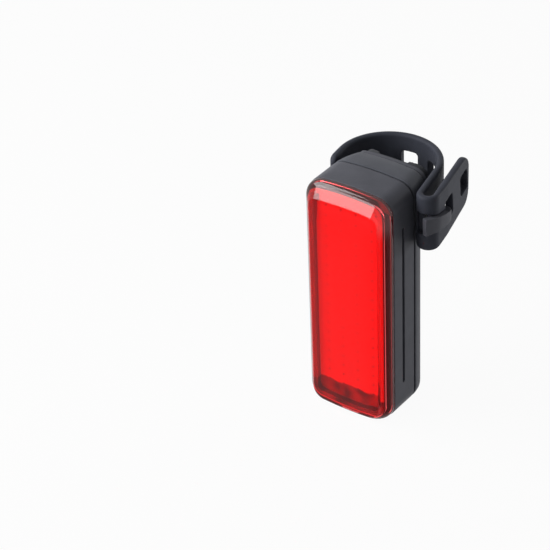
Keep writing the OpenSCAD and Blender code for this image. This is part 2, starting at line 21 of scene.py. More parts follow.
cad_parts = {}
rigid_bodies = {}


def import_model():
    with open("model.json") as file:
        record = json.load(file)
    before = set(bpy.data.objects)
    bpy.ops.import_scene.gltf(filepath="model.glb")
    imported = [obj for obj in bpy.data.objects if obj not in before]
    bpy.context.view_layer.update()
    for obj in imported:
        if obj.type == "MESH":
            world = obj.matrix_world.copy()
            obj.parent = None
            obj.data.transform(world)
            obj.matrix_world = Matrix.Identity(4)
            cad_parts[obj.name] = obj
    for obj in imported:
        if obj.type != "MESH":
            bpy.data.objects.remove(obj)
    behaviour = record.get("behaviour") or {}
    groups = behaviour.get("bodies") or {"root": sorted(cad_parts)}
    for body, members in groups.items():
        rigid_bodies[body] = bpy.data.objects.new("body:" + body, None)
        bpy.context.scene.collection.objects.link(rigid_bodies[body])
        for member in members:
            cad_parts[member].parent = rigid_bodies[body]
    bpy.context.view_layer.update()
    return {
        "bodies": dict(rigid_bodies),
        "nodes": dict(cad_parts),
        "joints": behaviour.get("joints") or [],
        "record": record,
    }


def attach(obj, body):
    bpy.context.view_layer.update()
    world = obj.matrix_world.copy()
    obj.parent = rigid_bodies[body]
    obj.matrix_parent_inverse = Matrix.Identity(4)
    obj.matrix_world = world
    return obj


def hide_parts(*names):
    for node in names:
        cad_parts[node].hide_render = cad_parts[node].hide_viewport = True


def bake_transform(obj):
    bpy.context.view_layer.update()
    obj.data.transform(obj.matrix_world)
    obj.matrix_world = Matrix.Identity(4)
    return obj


LOG = logging.getLogger("rear_light")
MM = 0.001
QUARTER = math.pi / 2
NOISE_RANGE = (0.3, 0.7)  # where most of a noise's values lie
PAST = 1  # how far a cutter reaches past a face
WELD = 1e-5  # points of a new mesh that are closer are merged
NODE_WELD = 1e-3  # points of a copied solid that are closer are merged
FLAT_ANGLE = 1  # faces of a copied solid that meet at fewer degrees become one

Flat = tuple[float, float]
Spot = tuple[float, float, float]
Row = tuple[float, ...]
Colour = tuple[float, float, float]
Object = bpy.types.Object
Material = bpy.types.Material
Node = bpy.types.Node
Socket = bpy.types.NodeSocket


class Body(Enum):
    """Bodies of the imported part."""

    LIGHT = "light"
    BUTTON = "button"
    FLAP = "flap"
    STRAP = "strap"


class Slot(Enum):
    """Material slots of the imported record."""

    LENS = "lens"
    DIFFUSER = "diffuser"
    SHELL = "shell"
    RUBBER = "rubber"
    STEEL = "steel"
    INNER = "inner_plastic"
    FOAM = "foam"
    WIRE = "wire"


class Edge(Enum):
    """Least angle in degrees between two faces at which an edge counts as one."""

    CRISP = 30
    NEAT = 35
    PLAIN = 40
    BLUNT = 50
    SOFT = 60
    NONE = 180


# ---------------------------------------------------------------------------
# finishes


class Tree:
    """Node tree with short ways to add nodes and link them."""

    def __init__(self, tree: bpy.types.NodeTree) -> None:
        """Takes a node tree over."""
        self.tree = tree

    def feed(self, node: Node, key: str | int, value: Any) -> None:
        """Links a socket to a node's input, or sets a plain value there.

        Args:
            node: The node.
            key: Name or number of its input.
            value: The socket or value.
        """
        if isinstance(value, Socket):
            self.tree.links.new(value, node.inputs[key])
        else:
            node.inputs[key].default_value = value

    def add(self, kind: str, inputs: dict[str | int, Any] | None = None, **values: Any) -> Node:
        """Adds a node.

        Args:
            kind: Blender's name of the node type.
            inputs: Sockets or plain values for its inputs, by name or number.
            values: Properties of the node.

        Returns:
            The new node.
        """
        node = self.tree.nodes.new(kind)
        for key, value in values.items():
            setattr(node, key, value)
        for key, value in (inputs or {}).items():
            self.feed(node, key, value)
        return node

    def math(self, operation: str, *terms: Socket | float) -> Socket:
        """Adds an operation on some terms and returns its result."""
        return self.add("ShaderNodeMath", dict(enumerate(terms)), operation=operation).outputs["Value"]

    def span(self, source: Socket, start: Flat, end: Flat = (0.0, 1.0), smooth: bool = False) -> Socket:
        """Maps a value from one range to another.

        Args:
            source: The value.
            start: Low and high end of its own range.
            end: What these become.
            smooth: True where the map eases in and out.

        Returns:
            The mapped value.
        """
        ends = {"From Min": start[0], "From Max": start[1], "To Min": end[0], "To Max": end[1]}
        kind = "SMOOTHSTEP" if smooth else "LINEAR"
        node = self.add("ShaderNodeMapRange", {"Value": source, **ends}, interpolation_type=kind)
        return node.outputs["Result"]

    def white_rays(self) -> Socket:
        """Finds what the camera sees, straight, in reflections or through the lens.

        Returns:
            1 for such rays and 0 for others.
        """
        path = self.add("ShaderNodeLightPath").outputs
        mirror = self.math("MAXIMUM", path["Is Glossy Ray"], path["Is Transmission Ray"])
        return self.math("MAXIMUM", path["Is Camera Ray"], mirror)


class Wiring(Tree):
    """Node tree of one material, with its Principled surface ready."""

    def __init__(self, name: str) -> None:
        """Makes the material.

        Args:
            name: Name of the material.
        """
        self.material: Material = bpy.data.materials.new(name)
        self.material.use_nodes = True
        super().__init__(self.material.node_tree)
        self.surface = self.tree.nodes["Principled BSDF"]
        self.place = self.add("ShaderNodeTexCoord").outputs["Object"]

    def set(self, **values: Any) -> None:
        """Feeds the surface's own sockets, by name with _ for a space."""
        for key, value in values.items():
            self.feed(self.surface, key.replace("_", " "), value)

    def axes(self) -> bpy.types.NodeOutputs:
        """Returns the piece's own coordinates as sockets X, Y and Z."""
        return self.add("ShaderNodeSeparateXYZ", {"Vector": self.place}).outputs

    def noise(self, size: float, detail: float = 2.0, stretch: Spot = (1, 1, 1)) -> Socket:
        """Adds noise on the piece's own coordinates.

        Args:
            size: Size of its blotches in millimetres.
            detail: Octaves of finer noise.
            stretch: Factor on the coordinates along each axis.

        Returns:
            The noise's value.
        """
        spread = self.add("ShaderNodeMapping", {"Vector": self.place, "Scale": stretch}).outputs["Vector"]
        inputs = {"Vector": spread, "Scale": 1 / (size * MM), "Detail": detail}
        return self.add("ShaderNodeTexNoise", inputs).outputs["Fac"]

    def vary(self, noise: Socket, low: float, high: float) -> Socket:
        """Maps a noise's middle range to low and high and returns the value."""
        return self.span(noise, NOISE_RANGE, (low, high))

    def tint(self, fac: Socket, dark: Colour, light: Colour) -> Socket:
        """Mixes two colours by the share of the second and returns the mix."""
        node = self.add("ShaderNodeMix", {"Factor": fac, "A": (*dark, 1), "B": (*light, 1)}, data_type="RGBA")
        return next(s for s in node.outputs if s.type == "RGBA")

    def bump(self, height: Socket, depth: float, strength: float) -> Socket:
        """Makes a relief with its depth in millimetres and returns the surface's normal."""
        inputs = {"Height": height, "Distance": depth * MM, "Strength": strength}
        return self.add("ShaderNodeBump", inputs).outputs["Normal"]


def shade(colour: Colour, factor: float) -> Colour:
    """Returns a colour times a factor."""
    return (colour[0] * factor, colour[1] * factor, colour[2] * factor)


@dataclass(frozen=True)
class MouldedFinish:
    """Moulded plastic or rubber with an even grain and a faint mottle."""

    name: str
    colour: Colour
    rough: float
    grain: float
    relief: float
    mottle: float = 0.15
    specular: float = 0.5
    spread: float = 0.06
    cloud: float = 30
    strength: float = 0.6

    def build(self) -> Material:
        """Wires the finish.

        Returns:
            The material.
        """
        w = Wiring(self.name)
        grain = w.noise(self.grain, detail=3)
        cloud = w.vary(w.noise(self.grain * self.cloud), 0, 1)
        dark, light = shade(self.colour, 1 - self.mottle), shade(self.colour, 1 + self.mottle)
        w.set(
            Base_Color=w.tint(cloud, dark, light),
            Roughness=w.vary(grain, self.rough - self.spread, self.rough + self.spread),
            Normal=w.bump(grain, self.relief, self.strength),
            Specular_IOR_Level=self.specular,
        )
        return w.material


@dataclass(frozen=True)
class ClearFinish:
    """Tinted clear plastic with a faint flow in its surface, with painted reflection (damped on the front
    face, boosted along its upper edge) and a faint painted glow.
    """

    name: str
    colour: Colour
    rough: float
    index: float = 1.4
    # painted reflection: the front face reflects at the first share and the upper edge at the second
    front_reflection: float = 0.1
    edge_reflection: float = 1.3
    depth: Flat = (-9.0, -8.75)
    height: Flat = (58.0, 63.0)
    # painted light: a faint glow stands in for light scattered inside the lens
    glow: float = 0.02
    rough_range: Flat = (0.8, 1.2)
    flow: float = 6
    relief: float = 0.02
    strength: float = 0.25

    def build(self) -> Material:
        """Wires the finish.

        Returns:
            The material.
        """
        w = Wiring(self.name)
        flow = w.noise(self.flow, detail=1)
        place = w.axes()
        # painted reflection mask: 1 behind the front face and high up, where reflections are boosted
        limits = (("Y", self.depth), ("Z", self.height))
        edges = [w.span(place[axis], (low * MM, high * MM), smooth=True) for axis, (low, high) in limits]
        w.set(
            Base_Color=(*self.colour, 1),
            Specular_Tint=w.tint(w.math("MULTIPLY", *edges), (self.front_reflection,) * 3, (self.edge_reflection,) * 3),
            Roughness=w.vary(flow, *(self.rough * f for f in self.rough_range)),
            Normal=w.bump(flow, self.relief, self.strength),
            IOR=self.index,
            Transmission_Weight=1.0,
            # painted light: faint glow of the lens
            Emission_Color=(*self.colour, 1),
            Emission_Strength=self.glow,
        )
        return w.material


@dataclass(frozen=True)
class PanelFinish:
    """Red light panel whose faint glow is painted light, standing in for studio light reaching it through the
    lens; darker and glowing less below an uneven line near its foot.
    """

    name: str
    colour: Colour
    # painted light: glow colour and power stand in for studio light reaching the panel through the lens
    glow: Colour
    power: float
    # painted shade: below 1, the panel is darker towards its left edge
    left: float = 1.0
    left_edge: Flat = (-9.5, -8.5)
    foot: float = 7.4
    foot_edge: Flat = (0.5, 0.3)
    ragged: float = 1.6
    blotch: float = 3.2
    patch: float = 4.5
    patch_range: Flat = (-0.15, 0.4)
    dim: float = 0.12
    rough: Flat = (0.45, 0.6)
    grain: float = 0.4
    relief: float = 0.01
    strength: float = 0.3
    specular: float = 0.1

    def build(self) -> Material:
        """Wires the finish.

        Returns:
            The material.
        """
        w = Wiring(self.name)
        place = w.axes()
        line = w.math("MULTIPLY_ADD", w.noise(self.blotch, detail=3), self.ragged * MM, place["Z"])
        middle = self.foot + self.ragged / 2
        below, above = self.foot_edge
        lit = w.span(line, ((middle - below) * MM, (middle + above) * MM), smooth=True)
        patch = w.math("MAXIMUM", lit, w.vary(w.noise(self.patch, detail=1), *self.patch_range))
        # painted shade: darker towards the left edge
        low, high = self.left_edge
        side = w.span(place["X"], (low * MM, high * MM), (self.left, 1.0), smooth=True)
        painted_light = w.math("MULTIPLY", patch, side)
        fine = w.noise(self.grain)
        # painted light: colour and glow fade together with the factor above
        w.set(
            Base_Color=w.tint(painted_light, shade(self.colour, self.dim), self.colour),
            Emission_Color=w.tint(painted_light, shade(self.glow, self.dim), self.glow),
            Emission_Strength=self.power,
            Roughness=w.vary(fine, *self.rough),
            Normal=w.bump(fine, self.relief, self.strength),
            Specular_IOR_Level=self.specular,
        )
        return w.material


@dataclass(frozen=True)
class MetalFinish:
    """Bright metal with fine turning or rolling marks."""

    name: str
    colour: Colour
    rough: float
    stretch: Spot = (1, 12, 1)
    marks: float = 0.5
    dim: float = 0.86
    spread: float = 0.07
    relief: float = 0.01
    strength: float = 0.4

    def build(self) -> Material:
        """Wires the finish.

        Returns:
            The material.
        """
        w = Wiring(self.name)
        marks = w.noise(self.marks, detail=3, stretch=self.stretch)
        w.set(
            Base_Color=w.tint(w.vary(marks, 0, 1), shade(self.colour, self.dim), self.colour),
            Roughness=w.vary(marks, self.rough - self.spread, self.rough + self.spread),
            Normal=w.bump(marks, self.relief, self.strength),
            Metallic=1.0,
        )
        return w.material


@dataclass(frozen=True)
class BoardFinish:
    """Solder mask over copper tracks."""

    name: str
    mask: Colour
    track: Colour
    rough: float = 0.35
    cell: float = 2.2
    uneven: float = 0.8
    pitch: float = 0.12
    share: float = 0.07
    relief: float = 0.03
    strength: float = 0.5

    def build(self) -> Material:
        """Wires the finish.

        Returns:
            The material.
        """
        w = Wiring(self.name)
        inputs = {"Vector": w.place, "Scale": 1 / (self.cell * MM), "Randomness": self.uneven}
        cells = w.add("ShaderNodeTexVoronoi", inputs, distance="MANHATTAN", feature="F1")
        edge = w.math("PINGPONG", cells.outputs["Distance"], self.pitch)
        step = w.math("GREATER_THAN", edge, self.share)
        w.set(
            Base_Color=w.tint(step, self.mask, self.track),
            Roughness=self.rough,
            Normal=w.bump(step, self.relief, self.strength),
        )
        return w.material


SHELL = MouldedFinish("dark_case_plastic", (0.082, 0.084, 0.100), 0.46, 0.16, 0.012, 0.08, 0.12)
COVER = MouldedFinish("cover_plastic", (0.080, 0.084, 0.099), 0.46, 0.16, 0.012, 0.08, 0.12)
INNER = MouldedFinish("black_inner_plastic", (0.012, 0.012, 0.013), 0.5, 0.2, 0.01, 0.15, 0.2)
STRAP = MouldedFinish("strap_rubber", (0.040, 0.043, 0.056), 0.55, 0.12, 0.01, 0.08, 0.1)
PAD = MouldedFinish("pad_rubber", (0.045, 0.047, 0.053), 0.62, 0.2, 0.02, 0.2, 0.15)
SEAL = MouldedFinish("seal_rubber", (0.006, 0.006, 0.007), 0.7, 0.2, 0.01, 0.2, 0.1)
FOAM = MouldedFinish("foam_pad", (0.03, 0.03, 0.03), 0.9, 0.4, 0.12, 0.3, 0.2)
WIRE = MouldedFinish("wire_sleeve", (0.45, 0.02, 0.02), 0.5, 0.3, 0.01)
CHIP = MouldedFinish("chip_resin", (0.8, 0.5, 0.12), 0.25, 0.3, 0.01)
DOT = MouldedFinish("panel_dots", (0.1, 0.0, 0.002), 0.5, 0.3, 0.01)
POUCH = MetalFinish("cell_pouch", (0.6, 0.62, 0.66), 0.4, (1, 1, 1))
STEEL = MetalFinish("screw_steel", (0.55, 0.56, 0.58), 0.3)
GILT = MetalFinish("gilt_contacts", (0.83, 0.62, 0.25), 0.28)
BOARD = BoardFinish("green_board", (0.01, 0.09, 0.035), (0.02, 0.16, 0.06))
LED_BOARD = BoardFinish("white_board", (0.75, 0.75, 0.72), (0.68, 0.66, 0.6))
LENS = ClearFinish("red_lens", (0.93, 0.1, 0.11), 0.015)
# painted light: panel, ledge and walls glow in place of studio light reaching them through the lens
PANEL = PanelFinish("red_panel", (0.8, 0.005, 0.01), (1.0, 0.004, 0.008), 0.25)
# painted shade: left=0.35 darkens the ledge's left side
LEDGE = PanelFinish("red_ledge", (0.7, 0.005, 0.01), (1.0, 0.004, 0.008), 0.16, left=0.35)
WALL = PanelFinish("panel_wall", (0.25, 0.008, 0.012), (1.0, 0.01, 0.015), 0.06)


# ---------------------------------------------------------------------------
# shaping


def polar(centre: Flat, r: float, a: float) -> Flat:
    """Returns the point at an angle in radians on a circle."""
    return (centre[0] + r * math.cos(a), centre[1] + r * math.sin(a))


def beside(place: Flat, a: float, way: float) -> Flat:
    """Returns the point some way from a place, square to an angle in radians."""
    return (place[0] - way * math.sin(a), place[1] + way * math.cos(a))


def arc(centre: Flat, r: float, a0: float, a1: float, n: int) -> list[Flat]:
    """Returns the points of n steps on an arc from angle a0 to a1 in radians, ends included."""
    return [polar(centre, r, a0 + (a1 - a0) * i / n) for i in range(n + 1)]


def round_box(x: Flat, y: Flat, r: float, n: int) -> list[Flat]:
    """Returns the points of an oblong with round corners of n steps, from its low and high ends."""
    corners = ((x[1] - r, y[1] - r), (x[0] + r, y[1] - r), (x[0] + r, y[0] + r), (x[1] - r, y[0] + r))
    return [p for k, c in enumerate(corners) for p in arc(c, r, k * QUARTER, (k + 1) * QUARTER, n)]


def flow(rows: Sequence[Row], steps: int) -> list[Row]:
    """Draws a smooth curve through rows of numbers.

    Args:
        rows: The rows to pass through.
        steps: Steps between two rows.

    Returns:
        The rows of the curve, ends included.
    """
    pts = [Vector(r) for r in rows]
    pts = [2 * pts[0] - pts[1], *pts, 2 * pts[-1] - pts[-2]]
    out: list[Row] = []
    for a, b, c, d in zip(pts, pts[1:], pts[2:], pts[3:]):
        square, cube = 2 * a - 5 * b + 4 * c - d, 3 * b - a - 3 * c + d
        for t in (i / steps for i in range(steps)):
            out.append(tuple(0.5 * (2 * b + (c - a) * t + square * t * t + cube * t**3)))
    out.append(tuple(rows[-1]))
    return out


class Workshop:
    """Shaping steps on objects that are still in millimetres."""

    @staticmethod
    def stand(name: str, data: bpy.types.ID) -> Object:
        """Puts a mesh, lamp or camera in the scene.

        Args:
            name: Name of the object.
            data: The mesh, lamp or camera.

        Returns:
            The new object.
        """
        obj = bpy.data.objects.new(name, data)
        bpy.context.scene.collection.objects.link(obj)
        return obj

    @staticmethod
    @contextmanager
    def opened(mesh: bpy.types.Mesh) -> Iterator[bmesh.types.BMesh]:
        """Opens a mesh for changes and writes them back.

        Args:
            mesh: The mesh.

        Returns:
            The open mesh.
        """
        shape = bmesh.new()
        shape.from_mesh(mesh)
        yield shape
        shape.to_mesh(mesh)
        shape.free()

    @staticmethod
    def piece(name: str, points: Sequence[Sequence[float]], faces: Sequence[Sequence[int]]) -> Object:
        """Makes a closed piece with its faces turned outwards.

        Args:
            name: Name of the piece.
            points: Its points.
            faces: Its faces as point numbers.

        Returns:
            The new object.
        """
        mesh = bpy.data.meshes.new(name)
        mesh.from_pydata([tuple(p) for p in points], [], [tuple(f) for f in faces])
        with Workshop.opened(mesh) as shape:
            bmesh.ops.remove_doubles(shape, verts=shape.verts, dist=WELD)
            bmesh.ops.recalc_face_normals(shape, faces=shape.faces)
        return Workshop.stand(name, mesh)

    @staticmethod
    def skin(name: str, rings: Sequence[Sequence[Sequence[float]]], endless: bool = False) -> Object:
        """Skins a row of closed rings.

        Args:
            name: Name of the piece.
            rings: The rings, each with as many points.
            endless: True where the last ring joins the first, False where both ends are capped.

        Returns:
            The new object.
        """
        n, m = len(rings[0]), len(rings)
        points = [p for ring in rings for p in ring]
        faces: list[Sequence[int]] = []
        for j in range(m if endless else m - 1):
            k = (j + 1) % m
            faces += [(j * n + i, j * n + (i + 1) % n, k * n + (i + 1) % n, k * n + i) for i in range(n)]
        if not endless:
            faces += [tuple(range(n)), tuple((m - 1) * n + i for i in range(n))]
        return Workshop.piece(name, points, faces)

    @staticmethod
    def prism(name: str, plan: Sequence[Flat], ends: Flat, axis: int = 2) -> Object:
        """Draws an outline on two axes out along the third, from end to end, and returns the piece."""
        return Workshop.skin(name, [[(*p[:axis], end, *p[axis:]) for p in plan] for end in ends])

    @staticmethod
    def brick(name: str, low: Spot, high: Spot) -> Object:
        """Makes an upright brick between two corners and returns it."""
        plan = [(low[0], low[1]), (high[0], low[1]), (high[0], high[1]), (low[0], high[1])]
        return Workshop.prism(name, plan, (low[2], high[2]))

    @staticmethod
    def turn(obj: Object, matrix: Matrix) -> Object:
        """Moves a piece's mesh and returns the piece."""
        obj.data.transform(matrix)
        return obj

    @staticmethod
    def modify(obj: Object, kind: str, **values: Any) -> None:
        """Gives a piece a modifier.

        Args:
            obj: The piece.
            kind: Blender's name of the modifier type.
            values: Properties of the modifier.
        """
        step = obj.modifiers.new(kind.lower(), kind)
        for key, value in values.items():
            setattr(step, key, value)

    @staticmethod
    def settle(obj: Object) -> Object:
        """Makes the piece's modifiers part of its mesh.

        Args:
            obj: The piece.

        Returns:
            The piece.
        """
        bpy.context.view_layer.update()
        graph = bpy.context.evaluated_depsgraph_get()
        mesh = bpy.data.meshes.new_from_object(obj.evaluated_get(graph))
        obj.modifiers.clear()
        obj.data = mesh
        return obj

    @staticmethod
    def cut(obj: Object, cutters: Sequence[Object]) -> Object:
        """Takes cutters away from a piece.

        Args:
            obj: The piece.
            cutters: What is cut out of it; they are used up.

        Returns:
            The piece.
        """
        for cutter in cutters:
            Workshop.modify(obj, "BOOLEAN", operation="DIFFERENCE", solver="EXACT", object=cutter)
        Workshop.settle(obj)
        for cutter in cutters:
            bpy.data.objects.remove(cutter)
        return obj

    @staticmethod
    def ease(obj: Object, width: float, segments: int = 2, edge: Edge = Edge.PLAIN) -> Object:
        """Rounds a piece's edges.

        Args:
            obj: The piece.
            width: Width of the rounding.
            segments: Faces across the rounding.
            edge: Which of its edges are rounded.

        Returns:
            The piece.
        """
        limit = {"limit_method": "ANGLE", "angle_limit": math.radians(edge.value)}
        Workshop.modify(obj, "BEVEL", width=width, segments=segments, **limit)
        return Workshop.settle(obj)

    @staticmethod
    def mould(obj: Object, rounds: int, grid: float = 0.2) -> None:
        """Gives a piece the soft edges of a rubber moulding.

        Args:
            obj: The piece.
            rounds: Rounds of smoothing.
            grid: Size of the new mesh's faces.
        """
        Workshop.modify(obj, "REMESH", mode="VOXEL", voxel_size=grid, adaptivity=0)
        Workshop.modify(obj, "SMOOTH", factor=0.5, iterations=rounds)
        Workshop.settle(obj)

    @staticmethod
    def copy(frame: dict[str, Any], node: str, name: str) -> Object:
        """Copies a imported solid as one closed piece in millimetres.

        Args:
            frame: The loaded frame.
            node: The solid's name.
            name: Name of the new piece.

        Returns:
            The new object.
        """
        mesh = frame["nodes"][node].data.copy()
        mesh.name = name
        mesh.materials.clear()
        mesh.transform(Matrix.Scale(1 / MM, 4))
        with Workshop.opened(mesh) as shape:
            bmesh.ops.remove_doubles(shape, verts=shape.verts, dist=NODE_WELD)
            flat = {"angle_limit": math.radians(FLAT_ANGLE), "delimit": set()}
            bmesh.ops.dissolve_limit(shape, verts=shape.verts, edges=shape.edges, **flat)
        return Workshop.stand(name, mesh)

    @staticmethod
    def hand_over(
        obj: Object,
        finish: Material,
        slot: Slot,
        body: Body | None,
        nodes: Sequence[str],
        edge: Edge = Edge.PLAIN,
    ) -> None:
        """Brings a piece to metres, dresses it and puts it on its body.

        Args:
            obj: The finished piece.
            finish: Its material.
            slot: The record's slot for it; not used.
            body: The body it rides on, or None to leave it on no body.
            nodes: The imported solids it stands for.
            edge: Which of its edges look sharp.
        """
        obj.data.transform(Matrix.Scale(MM, 4))
        obj.data.shade_smooth()
        obj.data.set_sharp_from_angle(angle=math.radians(edge.value))
        if edge is not Edge.NONE:
            Workshop.modify(obj, "WEIGHTED_NORMAL", keep_sharp=True)
            Workshop.settle(obj)
        mesh = obj.data
        mesh.materials.clear()
        mesh.materials.append(finish)
        if body is not None:
            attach(obj, body.value)
        if nodes:
            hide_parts(*nodes)
        told = ", ".join(nodes) or "the dressing alone"
        LOG.info("%s: %d faces, for %s", obj.name, len(mesh.polygons), told)


# ---------------------------------------------------------------------------
# sub-assemblies


@dataclass
class Case:
    """Front housing, back cover, seal and lens, all on one arched outline."""

    width: float = 26
    height: float = 69.7
    corner: float = 5
    least_corner: float = 1.2
    crown: float = 1
    foot: float = 0.2
    wall: float = 1.7
    y_seam: float = -4.7
    y_rear: float = 4.62
    y_rim: float = 5.18
    y_back: float = 12.6
    y_lip: float = 12.1
    shoulder: Flat = (47.0, 50.0)
    lens_depth: float = 4.75
    groove_ends: Flat = (10.4, 10.5)
    groove_y: float = -0.4
    groove_w: float = 1.0
    groove_d: float = 0.9
    control_y: float = 0.15
    button_z: Flat = (38.9, 51.1)
    button_w: float = 4.6
    recess_d: float = 1.1
    recess_half: float = 2.8
    recess_z: Flat = (13.0, 28.3)
    mouth_half: float = 1.9
    mouth_z: Flat = (15.4, 24.2)
    housing_edge: float = 0.1
    wall_edge: float = 0.04
    screw_x: float = 7.4
    screw_end: float = 4.1
    well_r: float = 1.7
    well_d: float = 2.3
    notch_x: float = -8.4
    notch_y: Flat = (5.8, 10.6)
    notch_z: Flat = (51.5, 62.7)
    trim_x: float = -11.4
    trim_z: float = 65.4
    trim_angle: float = 23
    trim_size: float = 20
    trim_back: float = 0.2
    corner_steps: int = 12
    crown_steps: int = 20
    shoulder_steps: int = 8
    well_steps: int = 32
    front_steps: int = 6
    side_steps: int = 5
    inner_steps: int = 4

    def top(self) -> float:
        """Returns the height of the outline's highest point."""
        return self.height - self.foot

    def half_ring(self, ix: float, iz: float) -> list[Flat]:
        """Upper half of the outline, from the right side over the top to the left.

        Args:
            ix: Inset across.
            iz: Inset in height.

        Returns:
            Its points around the outline's middle.
        """
        half = self.width / 2
        arch = (half * half + self.crown**2) / (2 * self.crown)
        top = self.height / 2 - iz
        r = max(self.corner - min(ix, iz), self.least_corner)
        xc = half - ix - r
        zc = top - arch + math.sqrt((arch - r) ** 2 - xc * xc)
        a = math.atan2(zc - top + arch, xc)
        return (
            arc((xc, zc), r, 0, a, self.corner_steps)
            + arc((0, top - arch), arch, a, math.pi - a, self.crown_steps)[1:-1]
            + arc((-xc, zc), r, math.pi - a, math.pi, self.corner_steps)
        )

    def ring(self, row: Row) -> list[Spot]:
        """Outline at one depth.

        Args:
            row: Inset across, inset at the top and depth; further the inset at the bottom and that of the
                shoulder on either side, where a row has them.

        Returns:
            The ring's points, flat on the foot.
        """
        ix, iz, y = row[:3]
        ib = row[3] if len(row) > 3 else iz
        wide = row[4] if len(row) > 4 else ix
        middle = self.height / 2 - self.foot
        side: list[Flat] = []
        if len(row) > 4:
            low, high = self.shoulder
            for t in (i / self.shoulder_steps for i in range(self.shoulder_steps + 1)):
                soft = t * t * (3 - 2 * t)
                side.append((self.width / 2 - ix - (wide - ix) * soft, low + (high - low) * t - middle))
        lower = [(x, -z) for x, z in reversed(self.half_ring(ix, ib))]
        flat = self.half_ring(wide, iz) + [(-x, z) for x, z in reversed(side)] + lower + side
        return [(x, y, max(z + middle, 0.0)) for x, z in flat]

    def shell(self, name: str, rows: Sequence[Row], endless: bool = False) -> Object:
        """Skins the outline over rows of insets and depth and returns the piece."""
        return Workshop.skin(name, [self.ring(r) for r in rows], endless)

    def band(self, name: str, rows: Sequence[Flat]) -> Object:
        """Makes an endless band from rows of one inset and depth and returns the piece."""
        return self.shell(name, [(v, v, y) for v, y in rows], True)

    def lens(self, finish: Material) -> None:
        """Makes the lens: a shallow front, a crease, and sides that round back to the seam.

        Args:
            finish: Its material.
        """
        y, d, w = self.y_seam, self.lens_depth, self.wall
        # rows: inset across, inset at the top, depth, inset at the bottom
        front = flow(
            [(10, 20, y - d, 20), (6, 10, y - d + 0.1, 8), (2.7, 4.5, y - d + 0.42, 1.85)],
            self.front_steps,
        )
        side = flow(
            [
                (2.5, 4.3, y - d + 0.48, 1.6),
                (2.1, 3.5, y - d + 0.9, 1.2),
                (1.5, 2.4, y - d * 0.69, 0.75),
                (0.85, 1.25, y - d * 0.55, 0.4),
                (0.35, 0.5, y - d * 0.4, 0.25),
                (0.1, 0.15, y - d * 0.22, 0.15),
                (0.1, 0.15, y - 0.12, 0.15),
            ],
            self.side_steps,
        )
        rim = [(0.22, 0.27, y, 0.27), (w, w, y, w)]
        inside = flow(
            [
                (w, w, y - d * 0.1, w),
                (w, w, y - d * 0.5, w),
                (w + 0.1, w + 0.25, y - d * 0.55, w + 0.1),
                (w + 0.5, w + 0.9, y - d * 0.6, w + 0.4),
                (w + 1.5, w + 2.6, y - d + w + 0.1, w + 1.2),
                (10, 20, y - d + w, 20),
            ],
            self.side_steps,
        )
        obj = self.shell("lens_red", [*front, *side, *rim, *inside])
        Workshop.hand_over(obj, finish, Slot.LENS, Body.LIGHT, ["lens"], Edge.BLUNT)

    def bar(self, name: str, x: Flat, y: float, z: Flat, width: float) -> Object:
        """Long round-ended bar through the side wall.

        Args:
            name: Name of the piece.
            x: Its two ends across the light.
            y: Its middle in depth.
            z: Its lower and upper end.
            width: Its width in depth.

        Returns:
            The piece.
        """
        r, n = width / 2, self.corner_steps
        plan = arc((y, z[1] - r), r, 0, math.pi, n) + arc((y, z[0] + r), r, math.pi, 2 * math.pi, n)
        return Workshop.prism(name, plan, x, 0)

    def housing(self, finish: Material) -> None:
        """Makes the front housing with its groove, button hole and port recess.

        Args:
            finish: Its material.
        """
        h, w, y = self.width / 2, self.wall, self.control_y
        edge = [(0.24, 0), (0.1, 0.05), (0.02, 0.14), (0, 0.26)]
        front = [(w, self.y_seam)] + [(v, self.y_seam + t) for v, t in edge]
        rear = [(v, self.y_rear - t) for v, t in reversed(edge)] + [(w, self.y_rear)]
        obj = self.band("housing_front", front + rear)
        groove_z = (self.groove_ends[0], self.top() - self.groove_ends[1])
        cutters = [
            self.bar("groove", (h - self.groove_d, h + PAST), self.groove_y, groove_z, self.groove_w),
            self.bar("button_hole", (-h - PAST, -h + w + PAST), y, self.button_z, self.button_w),
        ]
        for name, depth, half, (low, high) in (
            ("recess", self.recess_d, self.recess_half, self.recess_z),
            ("mouth", w + PAST, self.mouth_half, self.mouth_z),
        ):
            cutters.append(Workshop.brick(name, (-h - PAST, y - half, low), (-h + depth, y + half, high)))
        Workshop.cut(obj, cutters)
        Workshop.ease(obj, self.housing_edge, edge=Edge.BLUNT)
        Workshop.hand_over(obj, finish, Slot.SHELL, Body.LIGHT, ["front_housing"])

    def screw_spots(self) -> list[Flat]:
        """Returns where the case's screws are, seen from behind."""
        ends = (self.screw_end, self.top() - self.screw_end)
        return [(x, z) for x in (-self.screw_x, self.screw_x) for z in ends]

    def well(self, spot: Flat, y: Flat) -> Object:
        """Makes the cutter of a screw head's round well and returns it."""
        plan = arc(spot, self.well_r, 0, 2 * math.pi, self.well_steps)[:-1]
        return Workshop.prism("well", plan, y, 1)

    def cover(self, finish: Material, pocket: Object) -> None:
        """Makes the back cover with its screw wells, the strap's notch and room for the hook's arm.

        Args:
            finish: Its material.
            pocket: Cutter of the room for the hook's arm.
        """
        w, r, k, lip = self.wall, self.y_rim, self.y_back, self.y_lip
        d = k - r
